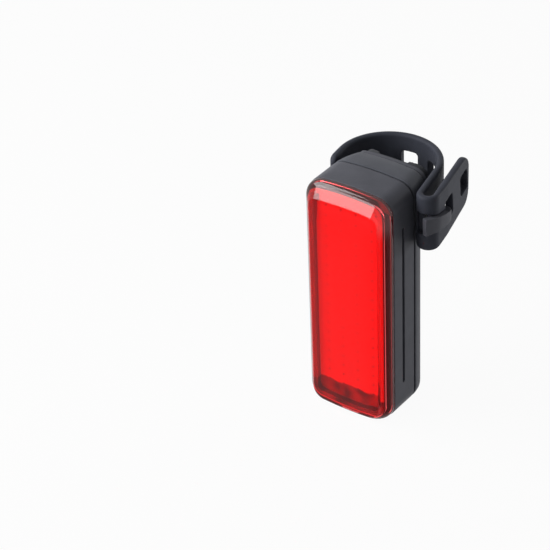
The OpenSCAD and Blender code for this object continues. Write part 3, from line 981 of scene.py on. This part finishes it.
        # rows: inset across, inset at the top, depth, inset at the bottom, inset of the shoulder
        inside = flow(
            [
                (w + 3.6, w + 1.6, k - w, w + 1.6, w + 3.2),
                (w + 2.2, w + 0.8, k - w - 0.8, w + 0.8, w + 1.7),
                (w + 0.9, w + 0.2, k - d * 0.5, w + 0.2, w + 0.7),
                (w, w, r + d * 0.2, w, w),
                (w, w, r + 0.2, w, w),
            ],
            self.inner_steps,
        )
        rim = [(v, v, y, v, v) for v, y in ((w, r), (0.22, r), (0.08, r + 0.06), (0.02, r + 0.18))]
        outside = flow(
            [
                (0.02, 0.0, r + 0.4, 0.0, 0.02),
                (0.1, 0.02, r + d * 0.17, 0.02, 0.1),
                (0.55, 0.1, r + d * 0.41, 0.1, 0.45),
                (1.6, 0.3, r + d * 0.65, 0.3, 0.95),
                (2.85, 0.66, lip - 0.25, 0.66, 1.32),
            ],
            self.side_steps,
        )
        back = [
            (2.95, 0.72, lip - 0.1, 0.72, 1.38),
            (3.05, 0.86, lip, 0.78, 1.52),
            (3.2, 2.2, lip + 0.05, 0.82, 3.1),
            (3.45, 2.3, k - 0.2, 1.0, 3.4),
            (3.62, 2.4, k - 0.07, 1.14, 3.6),
            (3.9, 2.6, k, 1.4, 3.9),
        ]
        obj = self.shell("cover_back", [*inside, *rim, *outside, *back])
        cutters = [self.well(spot, (k - self.well_d, k + PAST)) for spot in self.screw_spots()]
        (y0, y1), (z0, z1) = self.notch_y, self.notch_z
        cutters.append(Workshop.brick("notch", (-self.width, y0, z0), (self.notch_x, y1, z1)))
        size = self.trim_size
        trim = Workshop.brick("corner_trim", (-size, 0, 0), (0, size, size))
        spin = Matrix.Rotation(math.radians(-self.trim_angle), 4, "Z")
        Workshop.turn(trim, Matrix.Translation((self.trim_x, r + self.trim_back, self.trim_z)) @ spin)
        Workshop.cut(obj, [*cutters, trim, pocket])
        Workshop.hand_over(obj, finish, Slot.SHELL, Body.LIGHT, ["back_cover"])

    def surround(self, ledge: Material, wall: Material) -> None:
        """Makes the frame around the light panel: a red ledge in front of dark walls.

        Args:
            ledge: Material of the ledge.
            wall: Material of the walls.
        """
        # rows: inset all round, depth
        front = [(1.8, -6.75), (1.8, -7.05), (1.95, -7.25), (2.3, -7.38)]
        back = [(3.3, -7.46), (3.4, -7.4), (3.4, -7.2), (2.6, -6.9)]
        obj = self.band("panel_ledge", front + back)
        Workshop.hand_over(obj, ledge, Slot.INNER, Body.LIGHT, ["light_frame"])
        outside = [(1.86, -3.95), (1.86, -6.74), (2.58, -6.88), (3.38, -7.18)]
        inside = [(3.4, -5.66), (2.62, -5.66), (2.62, -3.95)]
        obj = self.band("panel_walls", outside + inside)
        Workshop.ease(obj, self.wall_edge, 1, Edge.BLUNT)
        Workshop.hand_over(obj, wall, Slot.INNER, Body.LIGHT, ["light_frame"])

    def seal(self, finish: Material) -> None:
        """Makes the seal in the seam between housing and cover.

        Args:
            finish: Its material.
        """
        y0, y1 = self.y_rear, self.y_rim
        rows = [(1.6, y0), (0.95, y0), (0.8, (y0 + y1) / 2), (0.95, y1), (1.6, y1)]
        obj = self.band("case_seal_rubber", rows)
        Workshop.hand_over(obj, finish, Slot.RUBBER, Body.LIGHT, ["case_seal"], Edge.SOFT)


@dataclass(frozen=True)
class Station:
    """One place along the strap, seen from above, with its section there."""

    place: Flat
    angle: float
    near: float
    far: float
    low: float
    high: float


@dataclass
class Strap:
    """Rubber strap: root, loop, run, fold and slotted tail as one moulding."""

    z_mid: float = 59.6
    width: float = 16
    thick: float = 1.9
    edge: float = 0.8
    edge_share: float = 0.45
    loop: Flat = (-1.31, 14.235)
    loop_r: float = 13.5
    root_a: float = 187.233
    root_l: float = 5.581
    band_a: float = 12.008
    run_l: float = 11.802
    fold_r: float = 2.15
    tail_a: float = 11.5
    tail_l: float = 20.0
    tail_extra: float = 0.3
    tail_swell: float = 5
    tip_l: float = 3
    tip_low: float = 3.2
    tip_top: float = 2.4
    rise: float = 0.125
    rise_from: float = 0.5
    dip: float = 2.2
    slot_l: float = 4.8
    slot_h: float = 6.2
    slot_r: float = 0.9
    slot_d: float = 8
    run_slot_d: float = 4
    tail_slot_d: float = 5
    loop_slots: tuple[float, ...] = (24, 57.5, 97)
    run_slot: float = 5.9
    tail_slots: Flat = (6.1, 16.5)
    fold_slot: tuple[Flat, Flat] = ((-1.9, -5.2), (2.2, -1.2))
    bend_way: Spot = (0.5, 0.866, 0)
    pin: Flat = (-10.8, 8.2)
    eye_r: float = 2.3
    eye_arc: Flat = (160, -156)
    eye_root: tuple[Flat, Flat] = ((-13.4, 7.3), (-13.4, 9.3))
    eye_z: Flat = (-8, 3)
    root_steps: int = 8
    loop_steps: int = 60
    run_steps: int = 10
    fold_steps: int = 24
    tail_steps: int = 36
    edge_steps: int = 4
    slot_steps: int = 5
    eye_steps: int = 20
    rounds: int = 5

    def angles(self) -> Spot:
        """Returns the angles of the root, the run and the tail in radians."""
        return (math.radians(self.root_a), math.radians(self.band_a), math.radians(self.tail_a))

    def edges(self) -> Flat:
        """Returns the lower and upper edge of the loop."""
        return (self.z_mid - self.width / 2, self.z_mid + self.width / 2)

    def hinge(self) -> Flat:
        """Returns where the root meets the loop, seen from above."""
        return polar(self.loop, self.loop_r, self.angles()[0])

    def fold(self) -> Flat:
        """Returns the centre of the fold, seen from above."""
        ba = self.angles()[1]
        return beside(polar(self.loop, self.loop_r + self.fold_r, ba), ba, -self.run_l)

    def path(self) -> list[Station]:
        """Returns the stations along the strap, from its root to its tip."""
        return [*self.root_path(), *self.loop_path(), *self.tail_path()]

    def root_path(self) -> Iterator[Station]:
        """Walks along the root, whose end is round and dips at its upper edge.

        Returns:
            The stations.
        """
        half, ra, n = self.thick / 2, self.angles()[0], self.root_steps
        low, high = self.edges()
        for i in range(1, 2 * n):
            e = half * (1 - math.cos(QUARTER * min(i, n) / n))
            t = self.root_l - e - (self.root_l - half) * max(0, i - n) / n
            h = math.sqrt(max(half * half - (half - e) ** 2, 0))
            k = max(0, 1 - (self.root_l - t) / self.dip)
            drop = self.dip * (1 - math.sqrt(1 - k * k))
            yield Station(beside(self.hinge(), ra, t), ra, h, h, low, high - drop)

    def loop_path(self) -> Iterator[Station]:
        """Walks round the loop, along the run and round the fold.

        Returns:
            The stations.
        """
        ra, ba, ta = self.angles()
        section = (self.thick / 2, self.thick / 2, *self.edges())
        for i in range(self.loop_steps + 1):
            a = ra + (ba - ra) * i / self.loop_steps
            yield Station(polar(self.loop, self.loop_r, a), a, *section)
        end = polar(self.loop, self.loop_r, ba)
        for i in range(1, self.run_steps):
            yield Station(beside(end, ba, -self.run_l * i / self.run_steps), ba, *section)
        for i in range(self.fold_steps + 1):
            a = math.pi + ba + (math.pi + ta - ba) * i / self.fold_steps
            yield Station(polar(self.fold(), self.fold_r, a), a + math.pi, *section)

    def tail_path(self) -> Iterator[Station]:
        """Walks along the tail to its tip.

        Returns:
            The stations.
        """
        half, ta = self.thick / 2, self.angles()[2]
        start = polar(self.fold(), self.fold_r, ta)
        for i in range(1, self.tail_steps + 1):
            s = self.tail_l * math.sin(QUARTER * i / self.tail_steps)
            thin = half + self.tail_extra * min(s / self.tail_swell, 1)
            yield Station(beside(start, ta, s), ta + math.pi, half, thin, *self.tail_edges(s))

    def tail_edges(self, s: float) -> Flat:
        """Lower and upper edge of the tail.

        Args:
            s: Distance along the tail from the fold.

        Returns:
            The two heights.
        """
        low, high = self.edges()
        up = self.rise * max(0, s - self.rise_from)
        tip = max(0, (s - (self.tail_l - self.tip_l)) / self.tip_l)
        curl = 1 - math.sqrt(max(0, 1 - tip * tip))
        return (low + up + self.tip_low * curl, high + up / 3 - self.tip_top * curl)

    def ring(self, s: Station) -> list[Spot]:
        """Rounded section of the strap.

        Args:
            s: The station.

        Returns:
            The section's points.
        """
        r = min(self.edge, (s.near + s.far) * self.edge_share)
        plan = round_box((-s.far, s.near), (s.low, s.high), r, self.edge_steps)
        return [(*polar(s.place, u, s.angle), v) for u, v in plan]

    def slot(self, place: Flat, angle: float, depth: float, rise: float = 0, along: float = 0) -> Object:
        """Round-cornered cutter through the strap.

        Args:
            place: Its middle, seen from above.
            angle: Direction of its depth in radians.
            depth: How deep it reaches.
            rise: Slope of the strap there.
            along: Distance along which the strap has risen.

        Returns:
            The cutter.
        """
        a, b = self.slot_l / 2, self.slot_h / 2
        plan = round_box((-a, a), (-b, b), self.slot_r, self.slot_steps)
        obj = Workshop.prism("slot", plan, (-depth / 2, depth / 2), 0)
        spin = Matrix.Translation((*place, self.z_mid + rise * along)) @ Matrix.Rotation(angle, 4, "Z")
        return Workshop.turn(obj, spin @ Matrix.Rotation(math.atan(rise), 4, "X"))

    def cutters(self) -> list[Object]:
        """Makes the cutters of every slot.

        Returns:
            The cutters.
        """
        _, ba, ta = self.angles()
        (x, y), r, half = self.fold(), self.fold_r, self.slot_h / 2
        loop = [math.radians(a) for a in self.loop_slots]
        out = [self.slot(polar(self.loop, self.loop_r, a), a, self.slot_d) for a in loop]
        out.append(self.slot(beside(polar((x, y), -r, ba), ba, self.run_slot), ba, self.run_slot_d))
        for k in self.tail_slots:
            out.append(self.slot(beside(polar((x, y), r, ta), ta, k), ta, self.tail_slot_d, self.rise, k))
        low, high = ((x + u, y + v) for u, v in self.fold_slot)
        out.append(Workshop.brick("fold_slot", (*low, self.z_mid - half), (*high, self.z_mid + half)))
        return out

    def build(self, finish: Material, hollow: Object) -> None:
        """Makes the strap, which stays on no body.

        Args:
            finish: Its material.
            hollow: Cutter of the trough for the hook's tongue.
        """
        obj = Workshop.skin("strap_slotted", [self.ring(s) for s in self.path()])
        Workshop.cut(obj, [*self.cutters(), hollow])
        Workshop.mould(obj, self.rounds)
        nodes = ["strap_root", "strap_band", "strap_end"]
        Workshop.hand_over(obj, finish, Slot.RUBBER, None, nodes, Edge.NONE)
        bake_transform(obj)

    def eye(self, finish: Material) -> None:
        """Makes the eye that holds the strap's root on its pin.

        Args:
            finish: Its material.
        """
        a0, a1 = (math.radians(a) for a in self.eye_arc)
        plan = [*arc(self.pin, self.eye_r, a0, a1, self.eye_steps), *self.eye_root]
        low, high = self.eye_z
        obj = Workshop.prism("strap_eye", plan, (self.z_mid + low, self.z_mid + high))
        Workshop.hand_over(obj, finish, Slot.RUBBER, Body.LIGHT, [], Edge.CRISP)


@dataclass
class Hook:
    """Plate on the cover's back with the hook that holds the strap, and the pad on it."""

    low: float = 57.6
    high: float = 60.8
    tongue_high: float = 62.5
    gap: float = 0.3
    inset: Flat = (1.8, 1.1)
    plate_low: float = 48.2
    bolts: Flat = (51.6, 60.6)
    thick: float = 1.5
    arm: float = 1.8
    y_back: float = Case.y_back
    y_plate: float = 13.8
    plate_half: float = 9.1
    tongue_x: float = 18.603
    arm_y: float = 11.195
    fold_y: float = 5.947
    fold_r: float = Strap.fold_r
    tail_y: float = 6.376
    strap_x: float = 14.35
    strap_in: float = 1.85
    round: float = 0.6
    round_steps: int = 5
    curve_steps: int = 5
    plate_edge: float = 0.15
    pocket_x: float = 15
    pocket_in: float = 0.85
    reach: float = 100
    pad_rounds: int = 4

    def plan(self) -> list[Flat]:
        """Outline of the hook seen from above.

        Returns:
            Its points.
        """
        x, t, ay, h = self.tongue_x, self.thick, self.arm_y, self.arm / 2
        fy, fr, ty = self.fold_y, self.fold_r, self.tail_y
        inner = [
            (x - 0.3, ay - h),
            (x + 0.1, ay - h - 0.8),
            (x + 0.3, ty + 0.5),
            (x, fy - 1.2),
            (x - 1, fy - fr - 2.3),
        ]
        outer = [
            (x + 0.4, fy - fr - 2.8),
            (x + t + 0.1, fy - 1.4),
            (x + t + 0.3, ty + 0.6),
            (x + t + 0.1, ay - 0.8),
            (x + t - 0.3, ay + 0.3),
            (x + t - 1.1, ay + h),
        ]
        return [
            (self.plate_half - 1.5, self.y_back),
            (self.plate_half + 0.4, self.y_back),
            (self.strap_x - self.strap_in, ay - 0.4),
            (self.strap_x - 0.4, ay - h),
            *flow(inner, self.curve_steps),
            *flow(outer, self.curve_steps),
            (self.strap_x - 0.1, ay + h),
            (self.strap_x - 3.15, self.y_plate - 0.4),
            (self.plate_half - 0.2, self.y_plate),
            (self.plate_half - 1.5, self.y_plate),
        ]

    def trough(self) -> list[Flat]:
        """Outline of the hollow that the tongue lies in, seen from above.

        Returns:
            Its points.
        """
        x, y = self.tongue_x - self.gap, self.arm_y - self.arm / 2
        end = self.fold_y - self.fold_r - 3
        return [
            (x, y),
            (x + 0.1, y - 0.8),
            (x + 0.3, self.tail_y + 0.5),
            (x, self.fold_y - 1.2),
            (x - 1, end),
            (x + 6, end),
            (x + 6, y),
        ]

    def under(self, name: str, plan: Sequence[Flat], gap: float) -> Object:
        """Stands a plan up under the hook's upper edge, which slopes up along the tongue.

        Args:
            name: Name of the piece.
            plan: Its outline seen from above.
            gap: How far it is widened up and down.

        Returns:
            The piece.
        """
        obj = Workshop.prism(name, plan, (self.low - gap, self.tongue_high + gap))
        far = self.reach
        edge = [
            (-far, self.tongue_high + gap),
            (self.fold_y - self.fold_r - 2, self.tongue_high + gap),
            (self.arm_y - 1.2, self.high + gap),
            (far, self.high + gap),
            (far, far),
            (-far, far),
        ]
        return Workshop.cut(obj, [Workshop.prism("slope", edge, (0, far), 0)])

    def pocket(self) -> Object:
        """Makes the room that the arm needs in the cover.

        Returns:
            Its cutter.
        """
        x, side, back = self.plate_half, self.pocket_x, self.y_back
        y = self.arm_y - self.pocket_in
        near = [(x, back + PAST), (x, back - 0.1), (x + 0.3, back - 0.4)]
        far = [(self.strap_x - self.strap_in, y), (side, y), (side, back + PAST)]
        return Workshop.prism("pocket", near + far, (self.low - self.gap, self.high + self.gap))

    def hollow(self) -> Object:
        """Returns the cutter of the hollow that the tongue lies in."""
        return self.under("hollow", self.trough(), self.gap)

    def build(self, frame: dict[str, Any], plastic: Material, rubber: Material) -> None:
        """Makes the hook, its plate and the pad.

        Args:
            frame: The loaded frame.
            plastic: Material of the hook and plate.
            rubber: Material of the pad.
        """
        hook = self.under("strap_hook", self.plan(), 0)
        Workshop.ease(hook, self.round, self.round_steps)
        Workshop.hand_over(hook, plastic, Slot.SHELL, Body.LIGHT, ["strap_bracket"], Edge.NEAT)
        case, far = Case(), self.reach
        plate = case.shell("bracket_plate", [(*self.inset, y) for y in (self.y_back, self.y_plate)])
        cutters = [
            Workshop.brick("plate_end", (-far, 0, -far), (far, far, self.plate_low)),
            Workshop.brick("plate_side", (-far, 0, -far), (-self.plate_half, far, far)),
        ]
        cutters += [case.well((0, z), (self.y_plate - PAST, self.y_plate + PAST)) for z in self.bolts]
        Workshop.cut(plate, cutters)
        Workshop.ease(plate, self.plate_edge, edge=Edge.BLUNT)
        Workshop.hand_over(plate, plastic, Slot.SHELL, Body.LIGHT, ["strap_bracket"])
        pad = Workshop.copy(frame, "saddle_pad", "saddle_pad_rubber")
        Workshop.mould(pad, self.pad_rounds)
        Workshop.hand_over(pad, rubber, Slot.RUBBER, Body.LIGHT, ["saddle_pad"], Edge.NONE)


@dataclass
class Controls:
    """Power button and the cover over the charging port."""

    edge: float = 0.25
    edge_steps: int = 3

    def build(self, frame: dict[str, Any], rubber: Material) -> None:
        """Makes the button, the port cover and its tether.

        Args:
            frame: The loaded frame.
            rubber: Their material.
        """
        for node, name, body in (
            ("power_button", "button_rubber", Body.BUTTON),
            ("port_cover", "port_cover_rubber", Body.FLAP),
            ("port_tether", "port_tether_rubber", Body.LIGHT),
        ):
            obj = Workshop.ease(Workshop.copy(frame, node, name), self.edge, self.edge_steps)
            Workshop.hand_over(obj, rubber, Slot.RUBBER, body, [node], Edge.NEAT)


@dataclass
class Insides:
    """Soft pieces behind the boards: the battery's foam pad and its leads."""

    foam_edge: float = 0.3
    foam_steps: int = 3
    wire_edge: float = 0.08

    def build(self, frame: dict[str, Any], foam: Material, wire: Material) -> None:
        """Makes the pad and the leads.

        Args:
            frame: The loaded frame.
            foam: Material of the pad.
            wire: Material of the leads.
        """
        pad = Workshop.copy(frame, "battery_pad", "battery_foam")
        Workshop.ease(pad, self.foam_edge, self.foam_steps)
        Workshop.hand_over(pad, foam, Slot.FOAM, Body.LIGHT, ["battery_pad"], Edge.SOFT)
        leads = Workshop.copy(frame, "battery_leads", "battery_wires")
        Workshop.ease(leads, self.wire_edge)
        Workshop.hand_over(leads, wire, Slot.WIRE, Body.LIGHT, ["battery_leads"], Edge.SOFT)


class Growth(Tree):
    """Node tree that sets copies of a small shape on the points of a mesh."""

    def __init__(self, name: str, sizes: dict[str, float]) -> None:
        """Starts the tree.

        Args:
            name: Name of the tree.
            sizes: Its named sizes in millimetres.
        """
        super().__init__(bpy.data.node_groups.new(name, "GeometryNodeTree"))
        face = self.tree.interface
        for side in ("INPUT", "OUTPUT"):
            face.new_socket("Geometry", in_out=side, socket_type="NodeSocketGeometry")
        self.sizes: dict[str, float] = {}
        for key, value in sizes.items():
            socket = face.new_socket(key, in_out="INPUT", socket_type="NodeSocketFloat")
            self.sizes[socket.identifier] = value
        self.source = self.add("NodeGroupInput").outputs
        self.target = self.add("NodeGroupOutput")

    def rod(self, sides: int, part: str, length: str) -> Socket:
        """Makes an upright rod, its radius and length named sizes of a part, and returns its mesh."""
        sizes = {"Radius": self.source[f"{part} radius"], "Depth": self.source[f"{part} {length}"]}
        return self.add("GeometryNodeMeshCylinder", {"Vertices": sides, **sizes}).outputs["Mesh"]

    def lift(self, shape: Socket, z: float) -> Socket:
        """Moves a shape up and returns it."""
        inputs = {"Geometry": shape, "Translation": (0, 0, z)}
        return self.add("GeometryNodeTransform", inputs).outputs["Geometry"]

    def grow(self, shape: Socket, finish: Material, turn: float) -> None:
        """Ends the tree: copies, made real, with their material.

        Args:
            shape: The small shape.
            finish: Its material.
            turn: Its rotation about X in radians.
        """
        inputs = {"Points": self.source["Geometry"], "Instance": shape, "Rotation": (turn, 0, 0)}
        put = self.add("GeometryNodeInstanceOnPoints", inputs).outputs["Instances"]
        real = self.add("GeometryNodeRealizeInstances", {"Geometry": put}).outputs["Geometry"]
        dress = self.add("GeometryNodeSetMaterial", {"Geometry": real, "Material": finish})
        self.feed(self.target, "Geometry", dress.outputs["Geometry"])

    def on_points(self, name: str, points: Sequence[Spot]) -> Object:
        """Runs the tree on points.

        Args:
            name: Name of the piece.
            points: Where the copies go.

        Returns:
            The piece as a plain mesh.
        """
        mesh = bpy.data.meshes.new(name)
        mesh.from_pydata(list(points), [], [])
        obj = Workshop.stand(name, mesh)
        step = obj.modifiers.new("growth", "NODES")
        step.node_group = self.tree
        for key, value in self.sizes.items():
            step[key] = value
        return Workshop.settle(obj)


@dataclass
class Fasteners:
    """Cross-head screws of the case and of the hook's plate."""

    head_r: float = 1.6
    shank_r: float = 1.0
    cross: Flat = (2.0, 0.44)
    cross_d: float = 1.0
    bite: float = 0.05
    case_head: float = 1.4
    case_shank: float = 10.0
    case_y: float = 11.7
    plate_head: float = 1.0
    plate_shank: float = 3.2
    head_sides: int = 32
    shank_sides: int = 24

    def tree(self, head: float, shank: float, finish: Material) -> Growth:
        """Makes the tree of one screw, its head's top at the point.

        Args:
            head: Height of the head.
            shank: Length of the shank.
            finish: Its material.

        Returns:
            The tree.
        """
        sizes = {"head radius": self.head_r, "head height": head}
        sizes |= {"shank radius": self.shank_r, "shank length": shank}
        g = Growth("screw_growth", sizes)
        top = g.lift(g.rod(self.head_sides, "head", "height"), -head / 2)
        cut = g.add("GeometryNodeMeshBoolean", {"Mesh 1": top}, operation="DIFFERENCE", solver="EXACT")
        for plan in (self.cross, self.cross[::-1]):
            bar = g.add("GeometryNodeMeshCube", {"Size": (*plan, self.cross_d)})
            g.feed(cut, "Mesh 2", bar.outputs["Mesh"])
        low = g.lift(g.rod(self.shank_sides, "shank", "length"), -head - shank / 2 + self.bite)
        both = g.add("GeometryNodeJoinGeometry", {"Geometry": low})
        g.feed(both, "Geometry", cut.outputs["Mesh"])
        g.grow(both.outputs["Geometry"], finish, -QUARTER)
        return g

    def build(self, finish: Material) -> None:
        """Makes both sets of screws.

        Args:
            finish: Their material.
        """
        spots = [(x, self.case_y, z) for x, z in Case().screw_spots()]
        case = self.tree(self.case_head, self.case_shank, finish).on_points("case_screw_set", spots)
        Workshop.hand_over(case, finish, Slot.STEEL, Body.LIGHT, ["case_screws"], Edge.CRISP)
        spots = [(0, Hook.y_plate, z) for z in Hook.bolts]
        plate = self.tree(self.plate_head, self.plate_shank, finish).on_points("plate_screw_set", spots)
        Workshop.hand_over(plate, finish, Slot.STEEL, Body.LIGHT, ["bracket_screws"], Edge.CRISP)


@dataclass
class Panel:
    """Fine dots moulded in the front of the light panel."""

    columns: int = 4
    rows: int = 19
    pitch: float = 4.6
    end: float = 7.5
    face_y: float = -5.6
    radius: float = 0.19
    depth: float = 0.08
    sides: int = 10

    def build(self, finish: Material) -> None:
        """Makes the dots.

        Args:
            finish: Their material.
        """
        g = Growth("dot_growth", {"dot radius": self.radius, "dot depth": self.depth})
        g.grow(g.rod(self.sides, "dot", "depth"), finish, QUARTER)
        step = (Case().top() - 2 * self.end) / (self.rows - 1)
        y = self.face_y - self.depth / 4
        columns = [(c - (self.columns - 1) / 2) * self.pitch for c in range(self.columns)]
        points = [(x, y, self.end + r * step) for x in columns for r in range(self.rows)]
        obj = g.on_points("panel_dots", points)
        Workshop.hand_over(obj, finish, Slot.DIFFUSER, Body.LIGHT, [], Edge.CRISP)


# ---------------------------------------------------------------------------
# studio and order of work


@dataclass(frozen=True)
class Lamp:
    """Soft light with its place, size and power in watts."""

    name: str
    place: Spot
    wide: float
    tall: float
    power: float


@dataclass
class Studio:
    """Floor, soft lights and the camera at the photograph's view."""

    image: int = 550
    sensor: float = 36
    focal_px: float = 2279.0
    distance: float = 600
    azimuth: float = 34.75
    elevation: float = 34.46
    roll: float = -0.91
    target: Spot = (0, 0.3, 33.0)
    target_px: Flat = (363.8, 295.4)
    clip: Flat = (0.01, 20)
    ambient: float = 0.165
    floor_half: float = 3
    floor_grey: float = 0.5
    floor_white: float = 0.95
    floor_rough: float = 0.8
    floor_specular: float = 0.1
    lights: tuple[Lamp, ...] = (
        Lamp("softbox_top", (-400, -205, 420), 360, 360, 2.7),
        Lamp("low_right", (260, 450, 60), 200, 120, 1.0),
        Lamp("card_front", (-250, -440, 255), 320, 290, 1.9),
    )

    def camera(self) -> None:
        """Sets the camera so that the target lands on its pixel."""
        a, e, r = (math.radians(v) for v in (self.azimuth, self.elevation, self.roll))
        back = Vector((math.sin(a) * math.cos(e), -math.cos(a) * math.cos(e), math.sin(e)))
        ahead = -back
        right = ahead.cross(Vector((0, 0, 1))).normalized()
        up = right.cross(ahead)
        right, up = right * math.cos(r) + up * math.sin(r), up * math.cos(r) - right * math.sin(r)
        half = self.image / 2
        aim = (
            ahead
            + right * ((half - self.target_px[0]) / self.focal_px)
            + up * ((self.target_px[1] - half) / self.focal_px)
        ).normalized()
        right = (right - aim * right.dot(aim)).normalized()
        up = right.cross(aim)
        lens = bpy.data.cameras.new("camera")
        lens.lens = self.focal_px / self.image * self.sensor
        lens.sensor_width = self.sensor
        lens.clip_start, lens.clip_end = self.clip
        cam = Workshop.stand("camera", lens)
        place = (Vector(self.target) + back * self.distance) * MM
        cam.matrix_world = Matrix.Translation(place) @ Matrix((right, up, -aim)).transposed().to_4x4()
        bpy.context.scene.camera = cam

    def lamps(self) -> None:
        """Hangs the soft lights, each aimed at the light's middle."""
        for lamp in self.lights:
            data = bpy.data.lights.new(lamp.name, "AREA")
            data.shape = "RECTANGLE"
            data.size, data.size_y = lamp.wide * MM, lamp.tall * MM
            data.energy = lamp.power
            spot = Vector(lamp.place) * MM
            aim = (Vector(self.target) * MM - spot).to_track_quat("-Z", "Y").to_matrix().to_4x4()
            Workshop.stand(lamp.name, data).matrix_world = Matrix.Translation(spot) @ aim

    def world(self) -> None:
        """Makes a pale surround that is white to the camera and in reflections."""
        world = bpy.data.worlds.new("surround")
        bpy.context.scene.world = world
        world.use_nodes = True
        t = Tree(world.node_tree)
        ground = t.tree.nodes["Background"]
        t.feed(ground, "Color", (1, 1, 1, 1))
        t.feed(ground, "Strength", t.span(t.white_rays(), (0, 1), (self.ambient, 1.0)))

    def floor(self) -> None:
        """Lays a pale floor that holds a light shadow and is open from below."""
        h = self.floor_half
        obj = Workshop.piece("floor", [(-h, -h, 0), (h, -h, 0), (h, h, 0), (-h, h, 0)], [(0, 1, 2, 3)])
        w = Wiring("pale_floor")
        grey = (*(self.floor_grey,) * 3, 1)
        w.set(Base_Color=grey, Roughness=self.floor_rough, Specular_IOR_Level=self.floor_specular)
        share = w.math("MULTIPLY", w.white_rays(), self.floor_white)
        glow = w.add("ShaderNodeEmission").outputs["Emission"]
        inputs = {0: share, 1: w.surface.outputs["BSDF"], 2: glow}
        pale = w.add("ShaderNodeMixShader", inputs).outputs["Shader"]
        below = w.add("ShaderNodeNewGeometry").outputs["Backfacing"]
        gone = w.add("ShaderNodeBsdfTransparent").outputs["BSDF"]
        both = w.add("ShaderNodeMixShader", {0: below, 1: pale, 2: gone}).outputs["Shader"]
        w.feed(w.tree.nodes["Material Output"], "Surface", both)
        obj.data.materials.append(w.material)

    def build(self) -> None:
        """Sets up the whole studio."""
        bpy.context.scene.view_settings.view_transform = "Standard"
        self.camera()
        self.lamps()
        self.world()
        self.floor()


def dress_nodes(frame: dict[str, Any], finishes: dict[str, Material]) -> None:
    """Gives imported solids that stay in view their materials.

    Args:
        frame: The loaded frame.
        finishes: Material of each solid by name.
    """
    for node, finish in finishes.items():
        mesh = frame["nodes"][node].data
        mesh.materials.clear()
        mesh.materials.append(finish)


def main() -> None:
    """Builds the rear light and its studio."""
    logging.basicConfig(level=logging.INFO, format="%(name)s: %(message)s")
    for obj in list(bpy.data.objects):
        bpy.data.objects.remove(obj)
    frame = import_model()
    Studio().build()
    shell, cover = SHELL.build(), COVER.build()
    strap, pad, steel = STRAP.build(), PAD.build(), STEEL.build()
    inner, gilt = INNER.build(), GILT.build()
    dress_nodes(
        frame,
        {
            "diffuser": PANEL.build(),
            "led_board": LED_BOARD.build(),
            "led_chips": CHIP.build(),
            "main_board": BOARD.build(),
            "board_parts": inner,
            "contact_pins": gilt,
            "usb_socket": steel,
            "usb_tongue": inner,
            "tact_switch": inner,
            "switch_plunger": inner,
            "battery_cell": POUCH.build(),
            "strap_pin": steel,
        },
    )
    case, hook, band = Case(), Hook(), Strap()
    case.lens(LENS.build())
    case.surround(LEDGE.build(), WALL.build())
    case.seal(SEAL.build())
    case.housing(shell)
    case.cover(cover, hook.pocket())
    band.build(strap, hook.hollow())
    band.eye(strap)
    hook.build(frame, shell, pad)
    Controls().build(frame, pad)
    Insides().build(frame, FOAM.build(), WIRE.build())
    Fasteners().build(steel)
    Panel().build(DOT.build())


if __name__ == "__main__":
    main()
